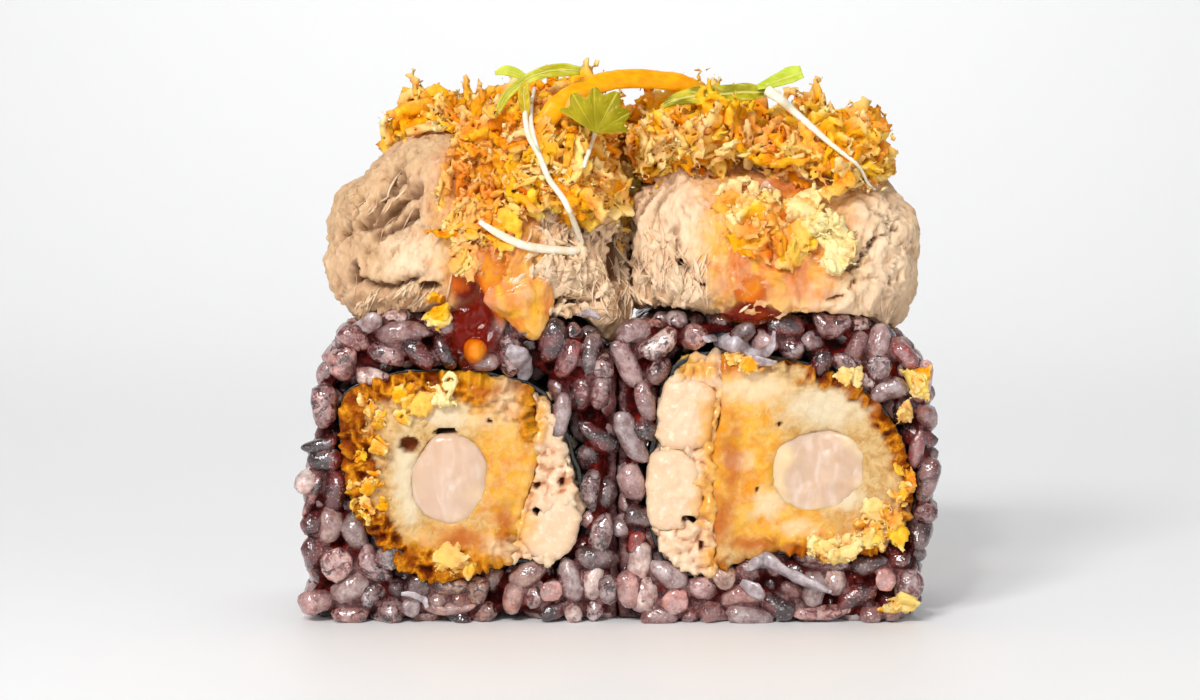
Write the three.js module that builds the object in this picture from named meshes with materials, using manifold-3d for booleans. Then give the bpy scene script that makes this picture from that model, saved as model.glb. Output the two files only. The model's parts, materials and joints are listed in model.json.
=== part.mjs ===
// Two thick slices of a black-rice sushi roll, pressed side by side and topped.
//
// Each slice is a jacket of black rice with a sheet of nori rolled inside it. The nori holds a
// prawn in fried batter with pale salmon packed beside it, and all of that runs through the
// slice from its front cut to its back cut. A mound of pulled, cooked fish lies on each slice,
// a heap of fried crumbs lies on each mound, and a strip of carrot bridges the two heaps.
//
// Units are millimetres. X runs across the two slices, Y runs along the roll from the front cut
// to the back cut, and Z is up. The origin is under the middle of the whole thing, on the board.

import * as THREE from "three";
import { mergeVertices } from "three/addons/utils/BufferGeometryUtils.js";
import Module from "manifold-3d";

// ---- driving dimensions ----------------------------------------------------------------

const SLICE_DEPTH = 28; // from the front cut to the back cut
const SLICE_HEIGHT = 36.8; // the rice alone
const HALF_WIDTH = 38; // from the seam between the slices to an outer wall
const NORI_THICKNESS = 0.5; // wetted by the rice it lies in
const TOUCH_GAP = 0.3; // left between pieces that touch
const GRAIN_PITCH = 3.4; // width of one cooked grain, and so of the rice's bumps
const GRAIN_RELIEF = 0.35; // how far a grain stands proud of the jacket

const MOUND_CENTRE_Z = 45.4; // the fish mounds lie on the rice
const MOUND_DEPTH = 14.6; // half of it: they hang a little over both cuts
const HEAP_CENTRE_Z = 56.6; // the crumbs lie on the mounds
const HEAP_DEPTH = 12.4;

const CARROT_WIDTH = 3.0;
const CARROT_THICKNESS = 1.4;

const OUTLINE_STEPS = 36; // corners of a filling's outline
const CHUNK_STEPS = 22; // corners of a prawn's or a salmon chunk's outline
const WALL_STEPS = 52; // corners of a rice jacket's outer wall
const FILLING_CUTS = 3; // stretches of a filling between the two cuts
const WALL_CUTS = 8; // stretches of a rice wall between the two cuts
const MOUND_DETAIL = 4; // fineness of a mound
const HEAP_DETAIL = 3; // fineness of each tuft in a heap

const wasm = await Module();
wasm.setup();

// ---- solids ----------------------------------------------------------------------------

function solidOf(geometry) {
  geometry.deleteAttribute("normal");
  geometry.deleteAttribute("uv");
  const merged = mergeVertices(geometry, 1e-4);
  return new wasm.Manifold(
    new wasm.Mesh({
      numProp: 3,
      vertProperties: merged.attributes.position.array,
      triVerts: new Uint32Array(merged.index.array),
    }),
  );
}

// A cut can leave shavings beside the piece: only the piece itself is kept.
function wholePiece(solid) {
  const pieces = solid.decompose();
  pieces.sort((a, b) => b.volume() - a.volume());
  return pieces[0];
}

function meshOf(name, solid, material) {
  const { numProp, vertProperties, triVerts } = wholePiece(solid).getMesh();
  const positions = new Float32Array((vertProperties.length / numProp) * 3);
  for (let i = 0; i < positions.length / 3; i++) {
    positions.set(vertProperties.subarray(i * numProp, i * numProp + 3), i * 3);
  }
  const geometry = new THREE.BufferGeometry();
  geometry.setAttribute("position", new THREE.BufferAttribute(positions, 3));
  geometry.setIndex(new THREE.BufferAttribute(new Uint32Array(triVerts), 1));
  geometry.computeVertexNormals();
  const mesh = new THREE.Mesh(geometry, material);
  mesh.name = name;
  return mesh;
}

function reshape(geometry, move) {
  const positions = geometry.attributes.position;
  const point = new THREE.Vector3();
  for (let i = 0; i < positions.count; i++) {
    point.fromBufferAttribute(positions, i);
    move(point);
    positions.setXYZ(i, point.x, point.y, point.z);
  }
  return geometry;
}

// ---- outlines of the cut face ------------------------------------------------------------

// A closed smooth line through [x, z] corners, pushed outwards by grow.
function outlineThrough(corners, grow = 0, steps = OUTLINE_STEPS) {
  const curve = new THREE.CatmullRomCurve3(
    corners.map(([x, z]) => new THREE.Vector3(x, z, 0)),
    true,
    "centripetal",
  );
  const line = curve.getSpacedPoints(steps).slice(0, steps);
  const turn = Math.sign(THREE.ShapeUtils.area(line));
  return line.map((point, i) => {
    const before = line[(i + steps - 1) % steps];
    const after = line[(i + 1) % steps];
    const along = new THREE.Vector2(after.x - before.x, after.y - before.y).normalize();
    return new THREE.Vector2(
      point.x + turn * along.y * grow,
      point.y - turn * along.x * grow,
    );
  });
}

// A rounded box outline about [x, z], turned by lean, as a cut chunk of fish has.
function chunkOutline({ centre, half, lean, squareness }, grow = 0) {
  const line = [];
  for (let i = 0; i < CHUNK_STEPS; i++) {
    const angle = (i / CHUNK_STEPS) * 2 * Math.PI;
    const round = (v, size) =>
      Math.sign(v) * Math.abs(v) ** (2 / squareness) * (size + grow);
    const x = round(Math.cos(angle), half[0]);
    const z = round(Math.sin(angle), half[1]);
    line.push(
      new THREE.Vector2(
        centre[0] + x * Math.cos(lean) - z * Math.sin(lean),
        centre[1] + x * Math.sin(lean) + z * Math.cos(lean),
      ),
    );
  }
  return line;
}

// The outline drawn out from the front cut to the back cut, or past both by over.
function barOf(outline, over = 0, steps = FILLING_CUTS) {
  const depth = SLICE_DEPTH + 2 * over;
  const geometry = new THREE.ExtrudeGeometry(new THREE.Shape(outline), {
    depth,
    steps,
    bevelEnabled: false,
  });
  geometry.rotateX(Math.PI / 2);
  geometry.translate(0, depth / 2, 0);
  return geometry;
}

// The fillings sag and swell a little between the cuts, all together.
function drift(point) {
  const along = (Math.PI * point.y) / SLICE_DEPTH;
  point.x += 0.35 * Math.sin(along);
  point.z += 0.25 * Math.cos(1.4 * along);
}

function fillingBar(outline, over = 0) {
  return solidOf(reshape(barOf(outline, over), drift));
}

// ---- rice jackets ------------------------------------------------------------------------

const RICE_LEFT = [
  [-HALF_WIDTH, -0.6],
  [-HALF_WIDTH, 2.6],
  [-37.1, 7.4],
  [-37.5, 16.9],
  [-36.4, 24],
  [-35.9, 29.9],
  [-34.0, 34.4],
  [-28.9, SLICE_HEIGHT],
  [-19, SLICE_HEIGHT],
  [-9.3, 36.3],
  [-3.9, 35.4],
  [-1.5, 32.4],
  [-0.4, 24],
  [-0.3, 14.5],
  [-0.3, 3.8],
  [-1.0, -0.6],
  [-19, -0.8],
];

const RICE_RIGHT = [
  [1.0, -0.6],
  [0.4, 3.8],
  [0.3, 14.5],
  [0.3, 24],
  [0.6, 31.8],
  [1.9, 35.3],
  [6, SLICE_HEIGHT],
  [15.7, SLICE_HEIGHT],
  [28.7, 36.4],
  [34.1, 34.1],
  [37.2, 29.7],
  [HALF_WIDTH, 22.8],
  [HALF_WIDTH + 0.3, 15.7],
  [37.0, 8.6],
  [36.0, 2.6],
  [35.5, -0.6],
  [18, -0.8],
];

// Grains stand proud of the outer wall, which is flat only where it rests on the board.
function grainRelief(point) {
  const wave = (v, shift) => Math.sin((2 * Math.PI * v) / (2 * GRAIN_PITCH) + shift);
  const height = GRAIN_RELIEF * wave(point.x + point.z, 0.4) * wave(point.y * 0.9, 1.1);
  const middle = point.x < 0 ? -19 : 19;
  const outwards = new THREE.Vector2(point.x - middle, point.z - SLICE_HEIGHT / 2).normalize();
  const nearSeam = Math.abs(point.x) < 3 ? 0.3 : 1;
  point.x += outwards.x * height * nearSeam;
  point.z += outwards.y * height;
  point.z = Math.max(point.z, 0);
}

// ---- fillings ------------------------------------------------------------------------------

const FILLING_LEFT = [
  [-31.6, 27.3],
  [-27.7, 29.0],
  [-21.1, 29.7],
  [-14.0, 29.2],
  [-9.0, 27.3],
  [-6.5, 22.8],
  [-5.0, 18.1],
  [-4.8, 12.1],
  [-7.2, 7.8],
  [-12.2, 8.0],
  [-17.6, 6.4],
  [-22.6, 5.9],
  [-26.8, 8.6],
  [-30.4, 13.9],
  [-32.0, 20.4],
];

const FILLING_RIGHT = [
  [6.4, 28.0],
  [9.1, 31.6],
  [15.1, 31.8],
  [21.6, 30.7],
  [27.6, 28.8],
  [32.0, 24.9],
  [34.5, 19.2],
  [34.9, 13.3],
  [32.0, 9.7],
  [26.6, 8.4],
  [20.4, 9.0],
  [15.1, 8.2],
  [10.7, 6.1],
  [6.8, 7.6],
  [4.8, 12.1],
  [4.6, 18.6],
  [5.7, 23.2],
];

// Where the batter ends and the salmon beside it begins, from top to bottom.
const SALMON_EDGE_LEFT = [
  [-9.4, 34],
  [-10.0, 26.4],
  [-9.2, 21],
  [-10.8, 15],
  [-12.4, 9],
  [-13.4, 1],
];

const SALMON_EDGE_RIGHT = [
  [13.0, 36],
  [12.8, 26.4],
  [11.9, 20.4],
  [12.1, 13.3],
  [12.8, 1],
];

const PRAWN_LEFT = { centre: [-19.8, 17.6], half: [4.3, 5.2], lean: -0.25, squareness: 2.3 };
const PRAWN_RIGHT = { centre: [24.2, 18.6], half: [5.4, 4.6], lean: 0.3, squareness: 2.2 };

const CHUNK_LEFT = { centre: [-7.4, 11.4], half: [3.1, 2.7], lean: 0.5, squareness: 2.8 };
const CUBE_RIGHT = { centre: [8.0, 25.3], half: [3.1, 3.5], lean: -0.1, squareness: 4.5 };
const SLAB_RIGHT = { centre: [6.5, 16.2], half: [3.2, 4.2], lean: 0.12, squareness: 3 };

// All of a filling on the far side of an edge line, towards side (-1 left, 1 right).
function sideOf(edge, side, gap) {
  const far = side * 60;
  const curve = new THREE.SplineCurve(edge.map(([x, z]) => new THREE.Vector2(x, z)));
  const line = curve.getPoints(OUTLINE_STEPS / 2);
  for (const point of line) point.x += side * gap;
  line.push(new THREE.Vector2(far, edge.at(-1)[1]));
  line.push(new THREE.Vector2(far, edge[0][1]));
  return fillingBar(line, 1);
}

function fillSlice({ name, filling, edge, salmonSide, prawn, chunks, looks }) {
  const inside = fillingBar(outlineThrough(filling));
  const halfGap = TOUCH_GAP / 2;
  const pieces = [];

  const noriInner = outlineThrough(filling, TOUCH_GAP);
  const noriOuter = outlineThrough(filling, TOUCH_GAP + NORI_THICKNESS);
  const nori = fillingBar(noriOuter).subtract(fillingBar(noriInner, 1));
  pieces.push(meshOf(`nori_${name}`, nori, looks.nori));

  const batter = inside
    .intersect(sideOf(edge, -salmonSide, halfGap))
    .subtract(fillingBar(chunkOutline(prawn, TOUCH_GAP), 1));
  pieces.push(meshOf(`batter_${name}`, batter, looks.batter));
  pieces.push(meshOf(`prawn_${name}`, fillingBar(chunkOutline(prawn)), looks.prawn));

  let flakes = inside.intersect(sideOf(edge, salmonSide, halfGap));
  for (const [chunkName, chunk] of Object.entries(chunks)) {
    flakes = flakes.subtract(fillingBar(chunkOutline(chunk, TOUCH_GAP), 1));
    const cut = inside.intersect(fillingBar(chunkOutline(chunk), 1));
    pieces.push(meshOf(`salmon_${chunkName}_${name}`, cut, looks.salmon));
  }
  pieces.push(meshOf(`salmon_flakes_${name}`, flakes, looks.salmon));
  return pieces;
}

// The whole jacket with nothing in it, or a copy of it grown to leave room around it.
function riceBlock(wall, grow = 0) {
  const bar = barOf(outlineThrough(wall, grow, WALL_STEPS), grow, WALL_CUTS);
  return solidOf(reshape(bar, grainRelief));
}

function riceJacket(name, wall, filling, material) {
  const bed = outlineThrough(filling, 2 * TOUCH_GAP + NORI_THICKNESS);
  return meshOf(name, riceBlock(wall).subtract(fillingBar(bed, 1)), material);
}

// ---- fish mounds and crumb heaps -----------------------------------------------------------

// A lump is a ball pulled out to its half sizes, boxier as square grows past 2, and uneven.
// One that slumps is boxier still towards its foot.
function lump({ centre, half, square, slump = 0, lean = 0, bumps, detail }, grow = 0) {
  const geometry = new THREE.IcosahedronGeometry(1, detail);
  reshape(geometry, (p) => {
    const power = square + slump * Math.max(0, -p.z);
    const corner = Math.abs(p.x) ** power + Math.abs(p.y) ** power + Math.abs(p.z) ** power;
    const size = corner ** (-1 / power) * (1 + bumps(p));
    const x = p.x * (half[0] * size + grow);
    const y = p.y * (half[1] * size + grow);
    const z = p.z * (half[2] * size + grow);
    p.set(centre[0] + x, centre[1] + y, centre[2] + z + lean * x);
  });
  return solidOf(geometry);
}

// Soft folds of pulled fish: long swells, and a crease that opens over the front.
const moundFolds = (shift, creaseAt) => (p) =>
  0.035 * Math.sin(5 * p.x + 3 * p.z + shift) +
  0.03 * Math.sin(7 * p.y - 4 * p.z + 2 * shift) +
  0.015 * Math.sin(15 * p.x + 11 * p.y + 9 * p.z + shift) -
  0.07 * Math.exp(-(((p.x + 0.35 * p.z - creaseAt) / 0.09) ** 2)) * Math.max(0, -p.y);

// Crumbs heap up in tufts.
const crumbTufts = (shift) => (p) =>
  0.07 * Math.sin(9 * p.x + 4 * p.y + shift) * Math.sin(8 * p.y + shift) +
  0.055 * Math.sin(17 * p.x - 6 * p.z + 2 * shift) * Math.sin(14 * p.y + 5 * p.z);

const MOUND_LEFT = {
  centre: [-17.2, 0, MOUND_CENTRE_Z],
  half: [17.8, MOUND_DEPTH, 11.4],
  square: 2.3,
  slump: 3.2,
  lean: -0.1,
  bumps: moundFolds(0.6, -0.35),
  detail: MOUND_DETAIL,
};
const MOUND_RIGHT = {
  centre: [19.0, 0, MOUND_CENTRE_Z - 0.5],
  half: [17.7, MOUND_DEPTH, 11.2],
  square: 2.4,
  slump: 3.2,
  lean: -0.06,
  bumps: moundFolds(2.9, 0.55),
  detail: MOUND_DETAIL,
};

// The left heap has a crown behind the mound's top and a fall of crumbs down its front.
const HEAP_LEFT = [
  {
    centre: [-20.6, 3.4, HEAP_CENTRE_Z + 1.3],
    half: [8.2, 9.4, 5.2],
    square: 2.4,
    bumps: crumbTufts(0.3),
    detail: HEAP_DETAIL,
  },
  {
    centre: [-9.0, -2.0, HEAP_CENTRE_Z - 1.4],
    half: [9.6, HEAP_DEPTH + 2.0, 8.8],
    square: 2.4,
    bumps: crumbTufts(1.2),
    detail: HEAP_DETAIL,
  },
];
const HEAP_RIGHT = [
  {
    centre: [9.6, -1.4, HEAP_CENTRE_Z - 0.6],
    half: [8.8, HEAP_DEPTH + 1.6, 7.2],
    square: 2.4,
    bumps: crumbTufts(1.9),
    detail: HEAP_DETAIL,
  },
  {
    centre: [24.6, -0.6, HEAP_CENTRE_Z - 1.8],
    half: [9.6, HEAP_DEPTH + 1.0, 6.8],
    square: 2.4,
    bumps: crumbTufts(2.6),
    detail: HEAP_DETAIL,
  },
];

// ---- carrot strip ----------------------------------------------------------------------------

// It springs from the left heap, arches over the seam and comes down on the right heap.
const CARROT_LINE = [
  [-9.2, -14.2, 58.8],
  [-6.6, -13.2, 62.2],
  [-1.5, -11.0, 64.6],
  [4.0, -8.4, 64.9],
  [8.6, -6.6, 64.2],
  [10.4, -5.8, 62.9],
];

function carrotStrip(grow = 0) {
  const line = new THREE.CatmullRomCurve3(CARROT_LINE.map((p) => new THREE.Vector3(...p)));
  const halfWide = CARROT_WIDTH / 2 + grow;
  const halfThick = CARROT_THICKNESS / 2 + grow;
  const section = new THREE.Shape();
  section.absellipse(0, 0, halfThick, halfWide, 0, 2 * Math.PI);
  return solidOf(
    new THREE.ExtrudeGeometry(section, {
      steps: 14,
      curveSegments: 5,
      bevelEnabled: false,
      extrudePath: line,
    }),
  );
}

// ---- assembly --------------------------------------------------------------------------------

const looks = {
  rice: new THREE.MeshStandardMaterial({ color: 0x4a3540, roughness: 0.35 }),
  nori: new THREE.MeshStandardMaterial({ color: 0x0d110e, roughness: 0.5 }),
  batter: new THREE.MeshStandardMaterial({ color: 0xeab15a, roughness: 0.6 }),
  prawn: new THREE.MeshStandardMaterial({ color: 0xf2d8c8, roughness: 0.3 }),
  salmon: new THREE.MeshStandardMaterial({ color: 0xfadcc0, roughness: 0.5 }),
  fish: new THREE.MeshStandardMaterial({ color: 0xcdaa8c, roughness: 0.6 }),
  crumbs: new THREE.MeshStandardMaterial({ color: 0xe39a32, roughness: 0.6 }),
  carrot: new THREE.MeshStandardMaterial({ color: 0xf59a14, roughness: 0.35 }),
};

const sushi = new THREE.Group();

sushi.add(riceJacket("rice_left", RICE_LEFT, FILLING_LEFT, looks.rice));
sushi.add(riceJacket("rice_right", RICE_RIGHT, FILLING_RIGHT, looks.rice));

const leftFilling = fillSlice({
  name: "left",
  filling: FILLING_LEFT,
  edge: SALMON_EDGE_LEFT,
  salmonSide: 1,
  prawn: PRAWN_LEFT,
  chunks: { chunk: CHUNK_LEFT },
  looks,
});
const rightFilling = fillSlice({
  name: "right",
  filling: FILLING_RIGHT,
  edge: SALMON_EDGE_RIGHT,
  salmonSide: -1,
  prawn: PRAWN_RIGHT,
  chunks: { cube: CUBE_RIGHT, slab: SLAB_RIGHT },
  looks,
});
sushi.add(...leftFilling, ...rightFilling);

// The mounds take the shape of the rice under them.
const beds = riceBlock(RICE_LEFT, TOUCH_GAP).add(riceBlock(RICE_RIGHT, TOUCH_GAP));
for (const [name, mound] of [["left", MOUND_LEFT], ["right", MOUND_RIGHT]]) {
  sushi.add(meshOf(`fish_${name}`, lump(mound).subtract(beds), looks.fish));
}

// The heaps take the shape of the mounds under them and leave room for the carrot.
const underHeaps = lump(MOUND_LEFT, TOUCH_GAP)
  .add(lump(MOUND_RIGHT, TOUCH_GAP))
  .add(carrotStrip(TOUCH_GAP));
for (const [name, [first, second]] of [["left", HEAP_LEFT], ["right", HEAP_RIGHT]]) {
  const heap = lump(first).add(lump(second)).subtract(underHeaps);
  sushi.add(meshOf(`crumbs_${name}`, heap, looks.crumbs));
}
sushi.add(meshOf("carrot_strip", carrotStrip(), looks.carrot));

// The origin is the middle of the underside of the whole thing.
const size = new THREE.Box3().setFromObject(sushi);
const middle = size.getCenter(new THREE.Vector3());
sushi.position.set(-middle.x, -middle.y, -size.min.z);

export default sushi;
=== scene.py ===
"""Two thick slices of a black-rice sushi roll, pressed side by side and topped.

The file follows the piece as it is put together: the rice and nori, the fried prawn and salmon
inside, then the pulled fish, fried crumbs, sauce, carrot and sprouts on top. Lengths are metres.
"""

import json
import math

import bmesh
import bpy
import numpy as np
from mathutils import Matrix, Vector
from mathutils.bvhtree import BVHTree

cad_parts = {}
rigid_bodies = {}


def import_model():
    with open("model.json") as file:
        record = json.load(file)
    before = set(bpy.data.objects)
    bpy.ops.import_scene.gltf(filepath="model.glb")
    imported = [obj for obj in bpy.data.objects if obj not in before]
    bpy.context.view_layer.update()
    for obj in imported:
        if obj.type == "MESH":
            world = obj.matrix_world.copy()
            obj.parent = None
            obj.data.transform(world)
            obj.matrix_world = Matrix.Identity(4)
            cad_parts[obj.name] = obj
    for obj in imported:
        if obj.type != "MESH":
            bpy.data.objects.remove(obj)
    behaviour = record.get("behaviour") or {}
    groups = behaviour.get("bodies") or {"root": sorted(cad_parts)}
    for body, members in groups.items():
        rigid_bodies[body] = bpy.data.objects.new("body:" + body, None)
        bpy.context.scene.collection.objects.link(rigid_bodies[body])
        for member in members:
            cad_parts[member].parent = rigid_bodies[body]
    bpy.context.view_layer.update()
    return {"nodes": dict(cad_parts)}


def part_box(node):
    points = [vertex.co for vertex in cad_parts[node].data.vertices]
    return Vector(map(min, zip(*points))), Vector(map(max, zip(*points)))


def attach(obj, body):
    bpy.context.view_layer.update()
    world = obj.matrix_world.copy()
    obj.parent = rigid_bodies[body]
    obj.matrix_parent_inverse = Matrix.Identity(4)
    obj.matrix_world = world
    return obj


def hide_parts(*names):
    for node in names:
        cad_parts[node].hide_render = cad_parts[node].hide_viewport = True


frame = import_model()
MM = 0.001


# ---- board, light and camera -----------------------------------------------------------------
# The piece stands on a white board that sweeps up behind it. Its white is painted greyer and a little
# bluer in front, painted shade where the lamps light it most, and full white further back, painted
# light. Large soft lights surround it, the main one high on the left, and the camera looks almost
# straight at the cuts with a long lens.

BOARD = 3.0
SWEEP_START = 0.35
SWEEP_RADIUS = 0.4
BOARD_BRIGHTENS = (0.1, 0.33, 0.6)  # how far behind the piece each of the board's painted tones lies, in metres
# painted shade in front, greyer and bluer, and painted light behind, on the board's white
BOARD_PAINTED_TONES = ((0.53, 0.598, 0.61), (0.99, 0.99, 0.99), (0.945, 0.945, 0.95))
LENS = 85.0
SENSOR = 36.0
VIEW_WIDTH = 142.5 * MM  # of the photo, at the front cut
VIEW_CENTRE = Vector((-2.2 * MM, -13.7 * MM, 32.8 * MM))
CAMERA_TILT = math.radians(4.5)
ROOM_LIGHT = 0.3
MIDDLE = Vector((0, 0, 35 * MM))
LAMPS = {  # where each stands, what it faces, its side in metres and its power in watts
    "key_light": ((-0.29, -0.58, 0.44), MIDDLE, 0.16, 2.9),
    "spark_light": ((-0.12, -0.5, 0.42), MIDDLE, 0.05, 1.0),
    "top_light": ((0.05, 0.12, 0.6), MIDDLE, 0.3, 0.5),
    "fill_light": ((0.45, -0.4, 0.22), MIDDLE, 0.3, 0.26),
    "front_light": ((0.0, -0.7, 0.12), MIDDLE, 0.25, 0.5),
    "backdrop_light": ((0.0, 0.5, 0.55), Vector((0, 1.3, -0.1)), 0.6, 1.26),
}


def deselect():
    bpy.ops.object.select_all(action="DESELECT")


def node(tree, kind, inputs=None, **settings):
    """A shader node with its settings, each input linked to a socket or set to a value."""
    made = tree.nodes.new("ShaderNode" + kind)
    for key, value in settings.items():
        setattr(made, key, value)
    for socket, value in (inputs or {}).items():
        if isinstance(value, bpy.types.NodeSocket):
            tree.links.new(value, made.inputs[socket])
        else:
            made.inputs[socket].default_value = value
    return made


def finish_named(name):
    """An empty node material."""
    finish = bpy.data.materials.new(name)
    finish.use_nodes = True
    finish.node_tree.nodes.clear()
    return finish


deselect()
bpy.ops.mesh.primitive_plane_add(size=BOARD, location=(0, SWEEP_START - BOARD / 2, 0))
board = bpy.context.object
board.name = "board"
bpy.ops.object.mode_set(mode="EDIT")
bpy.ops.mesh.select_all(action="DESELECT")
bpy.ops.object.mode_set(mode="OBJECT")
for edge in board.data.edges:
    edge.select = all(board.data.vertices[v].co.y > 0 for v in edge.vertices)
bpy.ops.object.mode_set(mode="EDIT")
bpy.ops.mesh.spin(
    steps=24, angle=math.radians(-90), center=(0, SWEEP_START, SWEEP_RADIUS), axis=(1, 0, 0)
)
bpy.ops.mesh.extrude_region_move(TRANSFORM_OT_translate={"value": (0, 0, BOARD)})
bpy.ops.object.mode_set(mode="OBJECT")
bpy.ops.object.shade_smooth()

paper = finish_named("white_board")
place_on_board = node(paper.node_tree, "TexCoord").outputs["Object"]
way_back = node(paper.node_tree, "SeparateXYZ", {0: place_on_board}).outputs["Y"]
# painted shade and light: the board goes from grey-blue in front, where the lamps light it most, to white
# behind
white = node(paper.node_tree, "ValToRGB", {"Fac": way_back})
white.color_ramp.elements.new(BOARD_BRIGHTENS[1])
for stop, position, brightness in zip(white.color_ramp.elements, BOARD_BRIGHTENS, BOARD_PAINTED_TONES):
    stop.position = position
    stop.color = (*brightness, 1)
sheet = node(paper.node_tree, "BsdfPrincipled", {"Base Color": white.outputs[0], "Roughness": 0.55})
node(paper.node_tree, "OutputMaterial", {"Surface": sheet.outputs[0]})
board.data.materials.append(paper)

world = bpy.data.worlds.new("studio")
bpy.context.scene.world = world
world.use_nodes = True
world.node_tree.nodes["Background"].inputs["Color"].default_value = (1.0, 1.0, 1.0, 1)
world.node_tree.nodes["Background"].inputs["Strength"].default_value = ROOM_LIGHT

for name, (place, aim, size, power) in LAMPS.items():
    deselect()
    bpy.ops.object.light_add(type="AREA", location=place)
    lamp = bpy.context.object
    lamp.name = name
    lamp.data.size = size
    lamp.data.energy = power
    lamp.rotation_euler = (aim - Vector(place)).to_track_quat("-Z", "Y").to_euler()

camera_data = bpy.data.cameras.new("camera")
camera = bpy.data.objects.new("camera", camera_data)
bpy.context.scene.collection.objects.link(camera)
bpy.context.scene.camera = camera
camera_data.lens = LENS
camera_data.sensor_width = SENSOR
camera_data.clip_start = 0.01
reach = VIEW_WIDTH * LENS / SENSOR
camera.location = VIEW_CENTRE + reach * Vector((0, -math.cos(CAMERA_TILT), math.sin(CAMERA_TILT)))
camera.rotation_euler = (math.radians(90) - CAMERA_TILT, 0, 0)
bpy.context.scene.view_settings.view_transform = "Standard"


# ---- rice jackets ------------------------------------------------------------------------------
# Each slice's jacket is a few hundred grains of cooked black rice, wet and pressed together, with
# starch and dark bran in the gaps between them, and painted shade that blackens the deeper grains and
# gaps. Some grains were cut or burst at the cut faces.

GRAIN_WIDTH = 3.3 * MM
GRAIN_LENGTH = 5.5 * MM
GRAIN_BEND = 0.14
GRAINS = 580
GRAINS_LOST = 0.09  # share that fell out, leaving dark hollows
GRAIN_SHRINK = 0.93  # of a settled grain's size, so that gaps show
GRAIN_SEGMENTS = 10
GRAIN_RINGS = 9
SETTLE_STEPS = 30
BALL = 0.44  # radius of a settling grain's balls, as a share of its width
FILM_STEP = 0.45 * MM
FILM_SINK = 0.26 * MM
CORE_SINK = 2.1 * MM
SEAM_SHIFT = 1.2 * MM  # from the seam into its own slice
SEAM_CORE = np.array(list(np.ndindex(2, 2, 2)), float)  # a block of rice behind the seam's grains
SEAM_CORE_FACES = [[0, 1, 3, 2], [4, 6, 7, 5], [0, 4, 5, 1], [2, 3, 7, 6], [0, 2, 6, 4], [1, 5, 7, 3]]

RICE_COLOURS = {
    "grey": (0.46, 0.365, 0.36),
    "lilac": (0.48, 0.305, 0.29),
    "mauve": (0.33, 0.14, 0.125),
    "pale": (0.80, 0.62, 0.55),
    "pink": (0.70, 0.36, 0.31),
    "red": (0.38, 0.055, 0.045),
    "dark": (0.05, 0.016, 0.018),
    "brown": (0.42, 0.24, 0.15),
}
USUAL_RICE = {  # share of the grains that have each colour
    "grey": 0.24,
    "lilac": 0.26,
    "mauve": 0.24,
    "pale": 0.05,
    "pink": 0.05,
    "red": 0.02,
    "dark": 0.14,
}
BRAN_LEFT = ([0.1, 0.3, 0.42, 0.6], [0.24, 0.3, 0.26, 0.2])  # how much bran grains keep, and how often
PINK_LIT_WALL = -31 * MM  # grains left of this are paler and pinker, partly their own colour and partly painted light
SOAKED_FOOT = ((-24 * MM, -8 * MM), 7 * MM)  # browned by sauce: from and to across, and how high

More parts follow.
